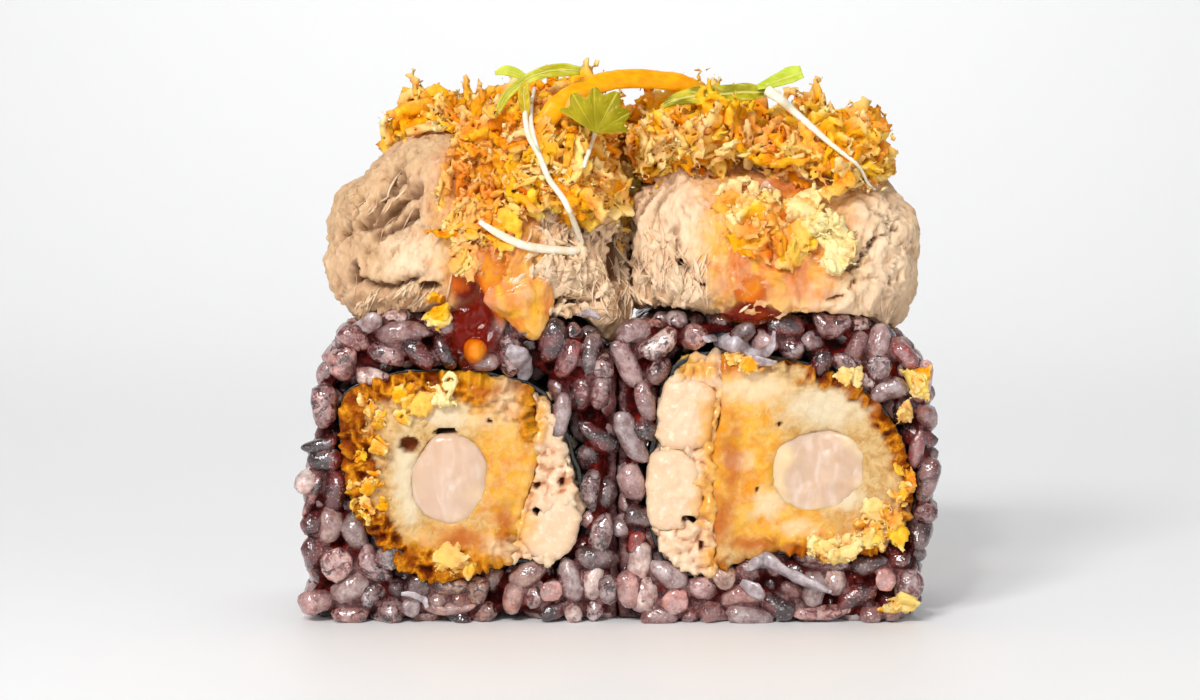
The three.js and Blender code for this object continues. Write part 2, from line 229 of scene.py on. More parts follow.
# Grains that stand out on the front cuts: across, up, lean from level in degrees, length and
# width in millimetres, and colour. One as long as it is wide was cut across.
CHOSEN_GRAINS = {
    "left": [
        (-32.8, 31.4, 70, 4.3, 4.0, "pink"), (-27.7, 32.2, -20, 5.0, 2.9, "lilac"),
        (-29.3, 29.5, -10, 4.3, 2.6, "pale"), (-25.4, 34.9, 4, 7.4, 3.1, "mauve"),
        (-35.7, 21.3, 12, 5.0, 2.0, "red"), (-36.6, 15.3, 68, 5.9, 1.7, "red"),
        (-33.8, 15.8, 80, 5.9, 2.9, "lilac"), (-34.5, 11.3, 75, 5.5, 3.3, "mauve"),
        (-33.5, 7.1, 0, 4.3, 4.3, "pink"), (-27.1, 8.2, 0, 3.7, 3.7, "grey"),
        (-36.2, 2.4, 5, 5.0, 3.3, "red"), (-24.7, 1.9, 0, 3.0, 3.0, "grey"),
        (-20.1, 4.5, -5, 5.2, 3.3, "brown"), (-16.9, 3.8, 80, 4.0, 3.0, "brown"),
        (-20.3, 1.7, 0, 6.9, 2.0, "pink"), (-10.8, 5.8, 30, 5.7, 3.3, "lilac"),
        (-12.6, 2.9, 80, 4.3, 3.3, "pink"), (-7.9, 4.0, 0, 2.9, 2.9, "pink"),
        (-3.0, 4.9, 80, 5.0, 2.9, "pale"), (-3.3, 16.0, 85, 5.7, 2.6, "grey"),
        (-2.0, 10.8, 75, 5.7, 3.1, "grey"), (-6.9, 24.8, 78, 6.4, 2.6, "grey"),
        (-2.5, 22.3, -35, 6.4, 2.9, "grey"), (-2.1, 27.6, 75, 4.8, 2.9, "lilac"),
        (-6.0, 31.6, 65, 5.5, 3.1, "red"), (-3.3, 32.3, 80, 5.7, 2.9, "dark"),
    ],
    "right": [
        (1.7, 34.9, 20, 4.8, 3.6, "lilac"), (1.0, 31.0, -62, 7.1, 3.1, "lilac"),
        (3.2, 26.6, -75, 5.5, 2.6, "mauve"), (1.4, 22.3, -62, 7.6, 3.3, "grey"),
        (31.0, 33.7, 80, 4.8, 3.3, "lilac"), (31.1, 30.9, 0, 3.6, 3.6, "lilac"),
        (32.2, 27.9, 20, 5.5, 3.3, "grey"), (24.2, 31.0, 75, 4.5, 3.1, "grey"),
        (28.3, 33.1, 60, 4.3, 2.9, "mauve"), (34.0, 32.3, -50, 5.0, 2.6, "red"),
        (36.2, 29.1, 80, 5.5, 2.9, "pink"), (35.6, 20.9, 80, 5.2, 2.1, "red"),
        (36.8, 16.9, 75, 6.4, 2.9, "mauve"), (2.5, 7.1, 80, 5.9, 3.6, "pale"),
        (3.3, 3.3, 85, 5.2, 3.8, "pale"), (2.1, 9.6, 70, 3.3, 2.1, "red"),
        (6.9, 2.6, 0, 3.6, 3.6, "pink"), (12.8, 5.5, 0, 3.3, 3.3, "brown"),
        (15.0, 3.4, 8, 6.2, 2.9, "pink"), (24.2, 7.7, -8, 7.6, 2.9, "lilac"),
        (28.3, 3.0, 28, 5.7, 3.1, "lilac"), (24.5, 1.2, 4, 7.6, 2.1, "pink"),
        (32.0, 5.3, 0, 2.9, 2.9, "pink"), (30.1, 7.0, 10, 5.0, 2.4, "dark"),
        (2.6, 12.7, -15, 4.3, 3.1, "dark"), (18.9, 1.9, -30, 5.5, 3.1, "mauve"),
    ],
}


def places_of(piece):
    """The vertices' places, one row each."""
    flat = np.empty(len(piece.data.vertices) * 3, np.float32)
    piece.data.vertices.foreach_get("co", flat)
    return flat.reshape(-1, 3).astype(float)


def directions_of(piece):
    """The vertices' outward directions, one row each."""
    flat = np.empty(len(piece.data.vertices) * 3, np.float32)
    piece.data.vertices.foreach_get("normal", flat)
    return flat.reshape(-1, 3).astype(float)


def move_to(piece, places):
    piece.data.vertices.foreach_set("co", places.astype(np.float32).ravel())
    piece.data.update()


def mark(piece, name, values):
    """Keeps a number or a colour for each vertex, for the finish to read."""
    values = np.asarray(values, np.float32)
    if values.ndim == 1:
        piece.data.attributes.new(name, "FLOAT", "POINT").data.foreach_set("value", values)
    else:
        colours = np.concatenate([values, np.ones((len(values), 1), np.float32)], 1)
        layer = piece.data.attributes.new(name, "FLOAT_COLOR", "POINT")
        layer.data.foreach_set("color", colours.ravel())


def waver(places, grain, seed, octaves=1):
    """Smooth unevenness of about -1 to 1 at each place, in lumps about one grain across."""
    rng = np.random.default_rng(int(seed * 10) + 5)
    order = rng.permutation(256)
    slopes = rng.normal(size=(256, 3))
    slopes *= 1.5 / np.linalg.norm(slopes, axis=1, keepdims=True)
    total = np.zeros(len(places))
    for octave in range(octaves):
        spots = places / grain * 2**octave + 7.31 * octave + 100
        cells = np.floor(spots).astype(int)
        inner = spots - cells
        ease = inner**3 * (inner * (inner * 6 - 15) + 10)
        level = np.zeros(len(places))
        for corner in np.ndindex(2, 2, 2):
            at = cells + corner
            pick = order[(order[(order[at[:, 0] & 255] + at[:, 1]) & 255] + at[:, 2]) & 255]
            share = np.where(np.array(corner) == 1, ease, 1 - ease).prod(1)
            level += share * ((inner - corner) * slopes[pick]).sum(1)
        total += level / 2**octave
    return total


def shake(places, grain, seed, octaves=1):
    """Smooth unevenness of the same kind in all three directions, one row for each place."""
    return np.stack([waver(places, grain, seed + k, octaves) for k in range(3)], 1)


def ramp_up(values, low, high):
    """0 below low, 1 above high, smooth between."""
    share = np.clip((values - low) / (high - low), 0, 1)
    return share * share * (3 - 2 * share)


def copy_of(node_name, name):
    """A copy of a CAD node's mesh, its loose triangles joined, with no finish."""
    piece = bpy.data.objects.new(name, frame["nodes"][node_name].data.copy())
    bpy.context.scene.collection.objects.link(piece)
    piece.data.materials.clear()
    shell = bmesh.new()
    shell.from_mesh(piece.data)
    bmesh.ops.remove_doubles(shell, verts=shell.verts, dist=0.002 * MM)
    shell.to_mesh(piece.data)
    shell.free()
    return piece


def apply_modifier(piece, kind, **settings):
    deselect()
    piece.select_set(True)
    bpy.context.view_layer.objects.active = piece
    modifier = piece.modifiers.new("shape", kind)
    for key, value in settings.items():
        setattr(modifier, key, value)
    bpy.ops.object.modifier_apply(modifier=modifier.name)


def even_skin(piece, size):
    """Rebuilds the piece's surface in even faces of that size."""
    apply_modifier(piece, "REMESH", mode="VOXEL", voxel_size=size, use_smooth_shade=True)


def surface_of(piece):
    """The piece's surface, to look up places on it."""
    shell = bmesh.new()
    shell.from_mesh(piece.data)
    tree = BVHTree.FromBMesh(shell)
    shell.free()
    return tree


def node_surface(node_name):
    """The surface of a CAD node."""
    shape = copy_of(node_name, "shape")
    surface = surface_of(shape)
    bpy.data.objects.remove(shape)
    return surface


def corners_of(node_name):
    """The low and the high corner of a CAD node's box."""
    return (np.array(corner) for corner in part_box(node_name))


def distance_to(tree, places):
    return np.array([tree.find_nearest(Vector(p))[3] for p in places])


def joined(name, places, faces, finish=None):
    """One mesh from many places and faces."""
    mesh = bpy.data.meshes.new(name)
    mesh.from_pydata(places.tolist(), [], faces.tolist() if isinstance(faces, np.ndarray) else faces)
    mesh.polygons.foreach_set("use_smooth", [True] * len(mesh.polygons))
    if finish is not None:
        mesh.materials.append(finish)
    piece = bpy.data.objects.new(name, mesh)
    bpy.context.scene.collection.objects.link(piece)
    return piece


def hand_in(piece, slot, *nodes):
    """Attaches a finished piece to the one body, and hides the CAD nodes it stands for."""
    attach(piece, "root")
    if nodes:
        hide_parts(*nodes)


def smooth_line(points, count):
    """Places along a smooth line through the points, a few for each stretch."""
    points = np.array(points, float)
    padded = np.concatenate([2 * points[:1] - points[1:2], points, 2 * points[-1:] - points[-2:-1]])
    found = []
    for t in np.linspace(0, len(points) - 1 - 1e-6, count):
        i, f = int(t), t - int(t)
        a, b, c, d = padded[i : i + 4]
        bend = (2 * a - 5 * b + 4 * c - d) * f**2 + (3 * b - a - 3 * c + d) * f**3
        found.append(0.5 * (2 * b + (c - a) * f + bend))
    return np.array(found)


def spread_over(widths, count):
    """The widths given in millimetres, spread evenly over so many places."""
    return np.interp(np.linspace(0, 1, count), np.linspace(0, 1, len(widths)), widths) * MM


def rod(line, widths, sides=8, flatness=1.0, spin=0.0):
    """A tapering round or flattened rod along a line, as places and faces."""
    tangents = np.gradient(line, axis=0)
    tangents /= np.linalg.norm(tangents, axis=1, keepdims=True)
    across = np.cross(tangents[0], [0.31, 0.9, 0.29])
    places = []
    for middle, tangent, width in zip(line, tangents, widths):
        across = across - tangent * (across @ tangent)
        across /= np.linalg.norm(across)
        over = np.cross(tangent, across)
        for angle in np.arange(sides) / sides * 2 * math.pi:
            round_x, round_y = math.cos(angle), flatness * math.sin(angle)
            u = round_x * math.cos(spin) - round_y * math.sin(spin)
            v = round_x * math.sin(spin) + round_y * math.cos(spin)
            places.append(middle + width / 2 * (u * across + v * over))
    faces = []
    for ring in range(len(line) - 1):
        for i in range(sides):
            a, b = ring * sides + i, ring * sides + (i + 1) % sides
            faces.append([a, b, b + sides, a + sides])
    last = (len(line) - 1) * sides
    faces += [list(range(sides))[::-1], list(range(last, last + sides))]
    return np.array(places), faces


def gathered(parts):
    """Joins several sets of places and faces into one."""
    places, faces, count = [], [], 0
    for part_places, part_faces in parts:
        places.append(part_places)
        faces += [[int(v) + count for v in face] for face in part_faces]
        count += len(part_places)
    return np.concatenate(places), faces


def attribute(tree, name, output="Fac"):
    return node(tree, "Attribute", attribute_name=name).outputs[output]


def mottle(tree, size, detail=3.0, roughness=0.55, distortion=0.0, stretch=(1, 1, 1)):
    """Cloudy unevenness from 0 to 1, in patches about one size across."""
    where = node(tree, "TexCoord").outputs["Object"]
    if stretch != (1, 1, 1):
        where = node(tree, "Mapping", {"Vector": where, "Scale": stretch}).outputs[0]
    return node(
        tree,
        "TexNoise",
        {
            "Vector": where,
            "Scale": 1 / size,
            "Detail": detail,
            "Roughness": roughness,
            "Distortion": distortion,
        },
    ).outputs["Fac"]


def between(tree, share, low, high):
    """Stretches a share so that low becomes 0 and high becomes 1."""
    return node(
        tree, "MapRange", {"Value": share, "From Min": low, "From Max": high},
        interpolation_type="SMOOTHSTEP",
    ).outputs[0]


def from_to(tree, share, low, high):
    """A number that goes from low to high as share goes from 0 to 1."""
    return node(tree, "MapRange", {"Value": share, "To Min": low, "To Max": high}).outputs[0]


def blend(tree, share, first, second, kind="MIX"):
    """The first colour where share is 0, the second, or the two together, where it is 1."""
    mix = node(tree, "Mix", data_type="RGBA", blend_type=kind)
    for socket, value in ((0, share), (6, first), (7, second)):
        if isinstance(value, bpy.types.NodeSocket):
            tree.links.new(value, mix.inputs[socket])
        elif isinstance(value, tuple):
            mix.inputs[socket].default_value = (*value, 1.0)
        else:
            mix.inputs[socket].default_value = value
    return mix.outputs[2]


def combined(tree, operation, first, second):
    return node(tree, "Math", {0: first, 1: second}, operation=operation).outputs[0]


def times(tree, first, second):
    return combined(tree, "MULTIPLY", first, second)


def roughened(tree, share, cloud, strength):
    """A share made uneven by a cloudy pattern."""
    swing = times(tree, combined(tree, "SUBTRACT", cloud, 0.5), strength)
    return combined(tree, "ADD", share, swing)


def bumps(tree, height, depth, strength=1.0, under=None):
    inputs = {"Height": height, "Distance": depth, "Strength": strength}
    if under is not None:
        inputs["Normal"] = under
    return node(tree, "Bump", inputs).outputs[0]


def close_finish(finish, inputs):
    """Ends a finish with one principled shader."""
    tree = finish.node_tree
    shader = node(tree, "BsdfPrincipled", inputs)
    node(tree, "OutputMaterial", {"Surface": shader.outputs[0]})
    return finish


def black_rice():
    """Wet grains: grey-mauve inside, streaked with dark red bran, pale where the knife went, with painted
    glints and painted shade.
    """
    finish = finish_named("black_rice")
    tree = finish.node_tree
    dull = times(tree, between(tree, mottle(tree, 2.3 * MM, 3.0), 0.42, 0.62), 0.6)
    flesh = blend(tree, dull, attribute(tree, "tint", "Color"), (0.38, 0.27, 0.265))
    cloud = between(tree, mottle(tree, 1.4 * MM, 4.0, 0.6), 0.35, 0.68)
    flesh = blend(tree, cloud, flesh, blend(tree, 1.0, flesh, (0.5, 0.32, 0.3), "MULTIPLY"))
    bran_edge = combined(tree, "ADD", mottle(tree, 1.0 * MM, 4.0, 0.62, 0.8), attribute(tree, "bran"))
    bran = between(tree, bran_edge, 0.86, 1.02)
    redder = between(tree, mottle(tree, 3.0 * MM), 0.4, 0.65)
    bran_tint = blend(tree, redder, (0.022, 0.005, 0.007), (0.16, 0.014, 0.014))
    colour = blend(tree, bran, flesh, bran_tint)
    # painted glints: fine pale specks over the grains, standing in for wet highlights
    painted_glints = between(tree, mottle(tree, 0.3 * MM, 2.0, 0.6), 0.6, 0.7)
    colour = blend(tree, times(tree, painted_glints, 0.4), colour, (0.80, 0.70, 0.68))
    # painted shade: grains that lie deeper below the jacket's surface darken to near black
    colour = blend(tree, times(tree, attribute(tree, "deep"), 0.95), colour, (0.012, 0.001, 0.001))
    film = bumps(tree, mottle(tree, 1.3 * MM, 3.0, 0.6, 0.4), 0.35 * MM, 0.8)
    wrinkles = bumps(tree, mottle(tree, 0.5 * MM, 4.0, 0.66), 0.12 * MM, 0.9, film)
    return close_finish(
        finish,
        {
            "Base Color": colour,
            "Roughness": 0.35,
            "Specular IOR Level": 0.2,
            "Normal": wrinkles,
            "Subsurface Weight": 0.18,
            "Subsurface Radius": (1.0, 0.4, 0.4),
            "Subsurface Scale": 0.8 * MM,
            "Coat Weight": 1.0,
            "Coat Roughness": 0.08,
            "Coat IOR": 1.9,
            "Coat Normal": bumps(tree, mottle(tree, 0.8 * MM, 3.0, 0.6), 0.1 * MM, 0.8, film),
        },
    )


def rice_film():
    """Wet crinkled starch and bran between the grains: mauve where high, wine red lower, and black deep in
    the hollows, which is painted shade.
    """
    finish = finish_named("rice_film")
    tree = finish.node_tree
    cloud = between(tree, mottle(tree, 0.9 * MM, 4.0, 0.65, 0.5), 0.36, 0.66)
    redder = between(tree, mottle(tree, 3.4 * MM, 2.0), 0.5, 0.66)
    wine = blend(tree, redder, (0.09, 0.006, 0.004), (0.22, 0.012, 0.006))
    wine = blend(tree, cloud, (0.022, 0.002, 0.002), wine)
    skin = blend(tree, cloud, (0.07, 0.014, 0.014), (0.22, 0.10, 0.095))
    # painted shade: the deeper the film lies, the darker it turns, to near black in the hollows
    uneven = roughened(tree, attribute(tree, "deep"), mottle(tree, 0.7 * MM, 4.0, 0.65), 0.7)
    colour = blend(tree, between(tree, uneven, 0.08, 0.3), skin, wine)
    colour = blend(tree, between(tree, uneven, 0.5, 0.8), colour, (0.012, 0.0008, 0.0006))
    crinkles = bumps(tree, mottle(tree, 0.45 * MM, 4.0, 0.62, 0.6), 0.2 * MM, 1.0)
    return close_finish(
        finish,
        {
            "Base Color": colour,
            "Roughness": 0.35,
            "Specular IOR Level": 0.05,
            "Normal": crinkles,
            "Coat Weight": from_to(tree, between(tree, attribute(tree, "deep"), 0.1, 0.5), 0.8, 0.0),
            "Coat Roughness": 0.07,
            "Coat Normal": crinkles,
        },
    )


def grain_template():
    """One grain about the origin, one unit long and thick, lying along X, as places and faces."""
    deselect()
    bpy.ops.mesh.primitive_uv_sphere_add(
        segments=GRAIN_SEGMENTS, ring_count=GRAIN_RINGS, radius=0.5, location=(0, 0, 0)
    )
    grain = bpy.context.object
    bpy.ops.object.mode_set(mode="EDIT")
    bpy.ops.mesh.select_all(action="SELECT")
    bpy.ops.transform.resize(value=(1.0, 0.9, 1.0))
    bpy.ops.object.mode_set(mode="OBJECT")
    upright = places_of(grain)
    faces = sorted((list(face.vertices) for face in grain.data.polygons), key=sorted)  # same each run
    bpy.data.objects.remove(grain)
    along = np.abs(2 * upright[:, 2:])
    fuller = np.sqrt((1.001 - along**2.7) / (1.001 - along**2))
    return (upright * [1, 1, 0] * fuller + upright * [0, 0, 1])[:, [2, 0, 1]], faces


def settled_grains(jacket, chosen, count, seed):
    """Middles, directions and sizes of grains that fill a jacket, pushed apart until they touch.

    Each grain counts as a row of balls while it settles. The chosen ones stay where they are.
    """
    rng = np.random.default_rng(seed)
    low, high = corners_of(jacket)
    tree = node_surface(jacket)

    def wall(place):
        """How far inside the jacket's surface a place lies, and the way out."""
        nearest, outwards, _, _ = tree.find_nearest(Vector(place))
        return (nearest - Vector(place)).dot(outwards), np.array(outwards)

    middles, ways, sizes, kinds = [], [], [], []
    for across, up, lean, length, width, kind in chosen:
        lean = math.radians(lean)
        cut = length == width
        middles.append([across * MM, low[1] + (0.9 if cut else 0.36 * width) * MM, up * MM])
        ways.append([0.1, 0.98, 0.1] if cut else [math.cos(lean), rng.uniform(-0.2, 0.2), math.sin(lean)])
        sizes.append([6 * MM if cut else length * MM, width * MM])
        kinds.append(kind)
    while len(middles) < count:
        place = rng.uniform(low, high)
        if wall(place)[0] > 0.2 * GRAIN_WIDTH:
            middles.append(place)
            ways.append(rng.normal(size=3) * ([1, 1, 1] if rng.random() < 0.5 else [1, 0.3, 1]))
            size = rng.uniform(0.84, 1.12)
            sizes.append([GRAIN_LENGTH * size * rng.uniform(0.8, 1.1), GRAIN_WIDTH * size])
            kinds.append(rng.choice(list(USUAL_RICE), p=list(USUAL_RICE.values())))
    middles, ways, sizes = np.array(middles), np.array(ways), np.array(sizes)
    ways /= np.linalg.norm(ways, axis=1, keepdims=True)
    radius = np.repeat(BALL * sizes[:, 1], 3)
    along = (sizes[:, 0] / 2 - BALL * sizes[:, 1])[:, None] * np.array([-1.0, 0.0, 1.0])
    owner = np.repeat(np.arange(count), 3)
    same = owner[:, None] == owner[None, :]
    free = (owner >= len(chosen))[:, None]
    for _ in range(SETTLE_STEPS):
        flat = (middles[:, None, :] + along[:, :, None] * ways[:, None, :]).reshape(-1, 3)
        apart = (flat[:, None, :] - flat[None, :, :]).astype(np.float32)
        gap = np.sqrt((apart**2).sum(2)) + 1e-9
        overlap = np.clip(radius[:, None] + radius[None, :] - gap, 0, None)
        overlap[same] = 0
        push = (apart * (overlap / gap)[:, :, None]).sum(1).astype(float) * 0.35
        for i, place in enumerate(flat):
            depth, outwards = wall(place)
            if depth < 0.8 * radius[i]:
                push[i] -= outwards * (0.8 * radius[i] - depth)
        balls = (flat + push * free).reshape(-1, 3, 3)
        middles = balls.mean(1)
        ways = balls[:, 2] - balls[:, 0]
        ways /= np.linalg.norm(ways, axis=1, keepdims=True)
    return middles, ways, sizes, kinds


def rice_jacket(side, seed):
    """The grains of one slice and the starchy film that joins them."""
    jacket = f"rice_{side}"
    rng = np.random.default_rng(seed)
    low, high = corners_of(jacket)
    chosen = CHOSEN_GRAINS[side]
    template, template_faces = grain_template()
    middles, ways, sizes, kinds = settled_grains(jacket, chosen, GRAINS, seed)
    sizes *= GRAIN_SHRINK
    parts, tints, brans, flats = [], [], [], []
    for i, (middle, way, (length, width), kind) in enumerate(zip(middles, ways, sizes, kinds)):
        if i >= len(chosen) and rng.random() < GRAINS_LOST:
            continue
        grain = template * np.array([length, width, width])
        taper = 1 + rng.uniform(-0.25, 0.25) * template[:, :1] * 2
        grain[:, 1:] *= taper
        grain[:, 2] += rng.normal(0, GRAIN_BEND) * (grain[:, 0] ** 2 / (length / 2) - 0.1 * length)
        side_way = np.cross(way, rng.normal(size=3))
        side_way /= np.linalg.norm(side_way)
        turned = grain @ np.array([way, side_way, np.cross(way, side_way)]) + middle
        parts.append((turned, template_faces))
        colour = np.array(RICE_COLOURS[kind]) * rng.uniform(0.8, 1.2)
        # paler and pinker at the left end: partly the grains' own colour, partly painted light on that side
        if middle[0] < PINK_LIT_WALL:
            colour = 0.6 * colour + 0.4 * np.array(RICE_COLOURS["pale" if rng.random() < 0.4 else "pink"])
        (soaked_from, soaked_to), soaked_high = SOAKED_FOOT
        if turned[:, 2].mean() < soaked_high and soaked_from < middle[0] < soaked_to:
            colour = (colour + np.array(RICE_COLOURS["brown"])) / 2
        shading = 1 + rng.uniform(-0.3, 0.3) * 2 * template[:, :1]
        tints.append(colour * shading)
        brans.append(np.full(len(template), rng.choice(BRAN_LEFT[0], p=BRAN_LEFT[1])))
        cut_across = i < len(chosen) and chosen[i][3] == chosen[i][4]
        if cut_across:
            # a cut grain's rim is paler than its middle: partly its bran edge and partly painted rim light
            rim = 2 * np.hypot(template[:, 1:2], template[:, 2:3])
            tints[-1] = colour * (0.75 + 0.55 * rim**3)
        flats.append(np.full(len(template), 0.3 if cut_across else rng.choice([0.5, 1.1], p=[0.3, 0.7])))
    places, faces = gathered(parts)
    places += 0.26 * MM * shake(places, 1.5 * MM, seed, 2)
    flats = np.concatenate(flats) * MM
    for past, edge, sign in ((low[1] - places[:, 1], low[1], -1), (places[:, 1] - high[1], high[1], 1)):
        proud = flats * (1 - np.exp(-np.clip(past, 0, None) / flats))
        places[:, 1] = np.where(past > 0, edge + sign * proud, places[:, 1])
    places[:, 2] = np.maximum(places[:, 2], 0)
    rice = joined(f"rice_grains_{side}", places, faces, black_rice_finish)
    mark(rice, "tint", np.concatenate(tints))
    mark(rice, "bran", np.concatenate(brans))
    outer = node_surface(jacket)
    # how deep each grain lies, for the painted shade that darkens the deeper ones
    mark(rice, "deep", ramp_up(distance_to(outer, places), 0.6 * MM, 2.0 * MM))
    hand_in(rice, "black_rice", jacket)

    core = copy_of(jacket, "core")
    even_skin(core, 0.8 * MM)
    move_to(core, places_of(core) - directions_of(core) * CORE_SINK)
    core_faces = [list(face.vertices) for face in core.data.polygons]
    inner = low[0] if side == "right" else high[0]
    seam = (SEAM_CORE - [0.5, 0.5, 0]) * [3 * MM, 0.8 * (high[1] - low[1]), 0.88 * high[2]]
    seam += [inner - (SEAM_SHIFT if side == "left" else -SEAM_SHIFT), (low[1] + high[1]) / 2, 0]
    film = joined(
        f"rice_film_{side}",
        *gathered([(places, faces), (places_of(core), core_faces), (seam, SEAM_CORE_FACES)]),
        rice_film_finish,
    )
    bpy.data.objects.remove(core)
    even_skin(film, FILM_STEP)
    apply_modifier(film, "SMOOTH", factor=0.6, iterations=7)
    depth = distance_to(outer, places_of(film))
    skin = FILM_SINK - 0.3 * MM * waver(places_of(film), 1.3 * MM, seed + 3, 3)
    film_places = places_of(film) - directions_of(film) * skin[:, None]
    film_places[:, 2] = np.maximum(film_places[:, 2], 0.1 * MM)
    move_to(film, film_places)
    # how deep the film lies, for the painted shade that blackens it in the hollows
    mark(film, "deep", np.clip(depth / (2.4 * MM), 0, 1))
    hand_in(film, "black_rice")


black_rice_finish = black_rice()
rice_film_finish = rice_film()
rice_jacket("left", 3)
rice_jacket("right", 8)


# ---- nori ----------------------------------------------------------------------------------------
# A sheet of roasted seaweed lines each jacket. The wet rice has turned it black-green and
# wrinkled it, and its cut edge lies a little behind the cut.

NORI_SINK = 1.7 * MM


def wet_nori():
    finish = finish_named("wet_nori")
    tree = finish.node_tree
    colour = blend(tree, mottle(tree, 1.5 * MM), (0.002, 0.002, 0.002), (0.010, 0.012, 0.008))
    relief = bumps(tree, mottle(tree, 0.5 * MM, 4.0), 0.15 * MM)
    return close_finish(
        finish, {"Base Color": colour, "Roughness": 0.25, "Normal": relief, "Coat Weight": 0.3}
    )


wet_nori_finish = wet_nori()
for side, seed in (("left", 21), ("right", 22)):
    nori = copy_of(f"nori_{side}", f"nori_sheet_{side}")
    apply_modifier(nori, "SUBSURF", subdivision_type="SIMPLE", levels=2, render_levels=2)
    wrinkled = places_of(nori)
    wrinkled[:, 1] *= 1 - NORI_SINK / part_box(f"nori_{side}")[1].y
    for axis in (0, 2):
        wrinkled[:, axis] += 0.3 * MM * waver(wrinkled, 3 * MM, seed + axis)
    move_to(nori, wrinkled)
    bpy.ops.object.shade_smooth()
    nori.data.materials.append(wet_nori_finish)
    hand_in(nori, "nori", f"nori_{side}")


# ---- fried batter --------------------------------------------------------------------------------
# Each prawn was dipped in batter, rolled in crumbs and fried. The cut shows pale dough round the
# prawn, a rough golden crust outside it, small holes, and sauce that has soaked in from above.

SKIN = 0.26 * MM
SWELL = 0.35 * MM
CRUST = {"left": 3.6 * MM, "right": 2.3 * MM}  # usual thickness of the crumbed crust
PIT_DEPTH = 1.6 * MM

# Spots on the cuts: across, up, half width and half height in millimetres. Sauce has glazed part of
# the dough, thickly in places, and the rest is creamy, or dry and pale.
DOUGH_HOLES = {
    "left": [(-24.9, 21.5, 1.15, 1.0), (-20.7, 23.0, 1.5, 0.42), (-15.4, 24.4, 0.3, 0.2)],
    "right": [(28.4, 17.4, 0.9, 0.3), (19.1, 24.0, 0.25, 0.25), (16.6, 16.2, 0.15, 0.3)],
}
GLAZED = {
    "left": [(-13.4, 18.6, 4.2, 8.6), (-16.8, 28.4, 3.6, 1.5), (-17.8, 9.6, 5.6, 2.4)],
    "right": [(14.4, 20.0, 5.2, 8.6), (12.6, 30.6, 3.6, 2.0), (19.5, 11.6, 6.5, 2.6)],
}
GLAZE_STRENGTH = {"left": 0.8, "right": 1.0}  # the left dough shows through more
CREAMY = {
    "left": [(-13.6, 26.8, 1.5, 2.2), (-14.0, 9.4, 2.0, 1.2)],
    "right": [
        (16.2, 28.6, 3.2, 1.8), (18.0, 14.7, 1.7, 1.2), (14.3, 19.6, 1.6, 1.0), (21.4, 11.6, 2.0, 0.8),
    ],
}
THICK_GLAZE = {
    "left": [(-18.6, 10.2, 2.6, 1.2), (-13.6, 12.2, 1.0, 2.2), (-15.8, 28.0, 1.6, 0.6)],
    "right": [
        (12.0, 12.6, 1.5, 3.0), (13.4, 19.5, 1.3, 4.0), (12.8, 31.0, 2.0, 0.8),
        (21.0, 22.0, 0.8, 0.3), (15.6, 9.6, 3.0, 0.7), (21.4, 9.2, 2.4, 0.6),
    ],
}
PALE_DOUGH = {
    "left": [
        (-21.2, 28.2, 1.4, 1.5), (-24.8, 14.6, 1.3, 2.2), (-25.4, 18.4, 1.4, 4.4), (-20.0, 25.0, 5.0, 1.3),
    ],
    "right": [
        (15.6, 28.4, 3.2, 1.5), (17.7, 13.5, 1.9, 1.2), (26.4, 14.9, 3.4, 1.0), (24.6, 26.0, 4.4, 2.4),
    ],
}


def spots_at(places, spots, seed, grain, ragged, low, high):
    """How far each place lies inside any of the spots, 1 inside and 0 outside, unevenly."""
    uneven = ragged * waver(places, grain, seed, 3)
    inside = np.zeros(len(places))
    for across, up, half_wide, half_high in spots:
        reach = np.hypot(
            (places[:, 0] - across * MM) / (half_wide * MM),
            (places[:, 2] - up * MM) / (half_high * MM),
        )
        inside = np.maximum(inside, ramp_up(1 + uneven - reach, low, high))
    return inside


def patches(places, spots, seed, soft=0.6):
    """Wide ragged spots with a soft edge."""
    return spots_at(places, spots, seed, 1.3 * MM, 0.45, -soft, soft)


def pits(places, spots):
    """Small holes with a crisp edge."""
    return spots_at(places, spots, 31, 0.6 * MM, 0.22, -0.1, 0.22)


def tufts(places, seed):
    """Relief of fried crumbs: ragged ridges with hollows between them, about -1 to 1."""
    ridge = 1 - 2.2 * np.abs(waver(places, 1.9 * MM, seed, 2))
    grit = waver(places, 0.7 * MM, seed + 1, 2)
    return 0.75 * ridge + 0.35 * grit


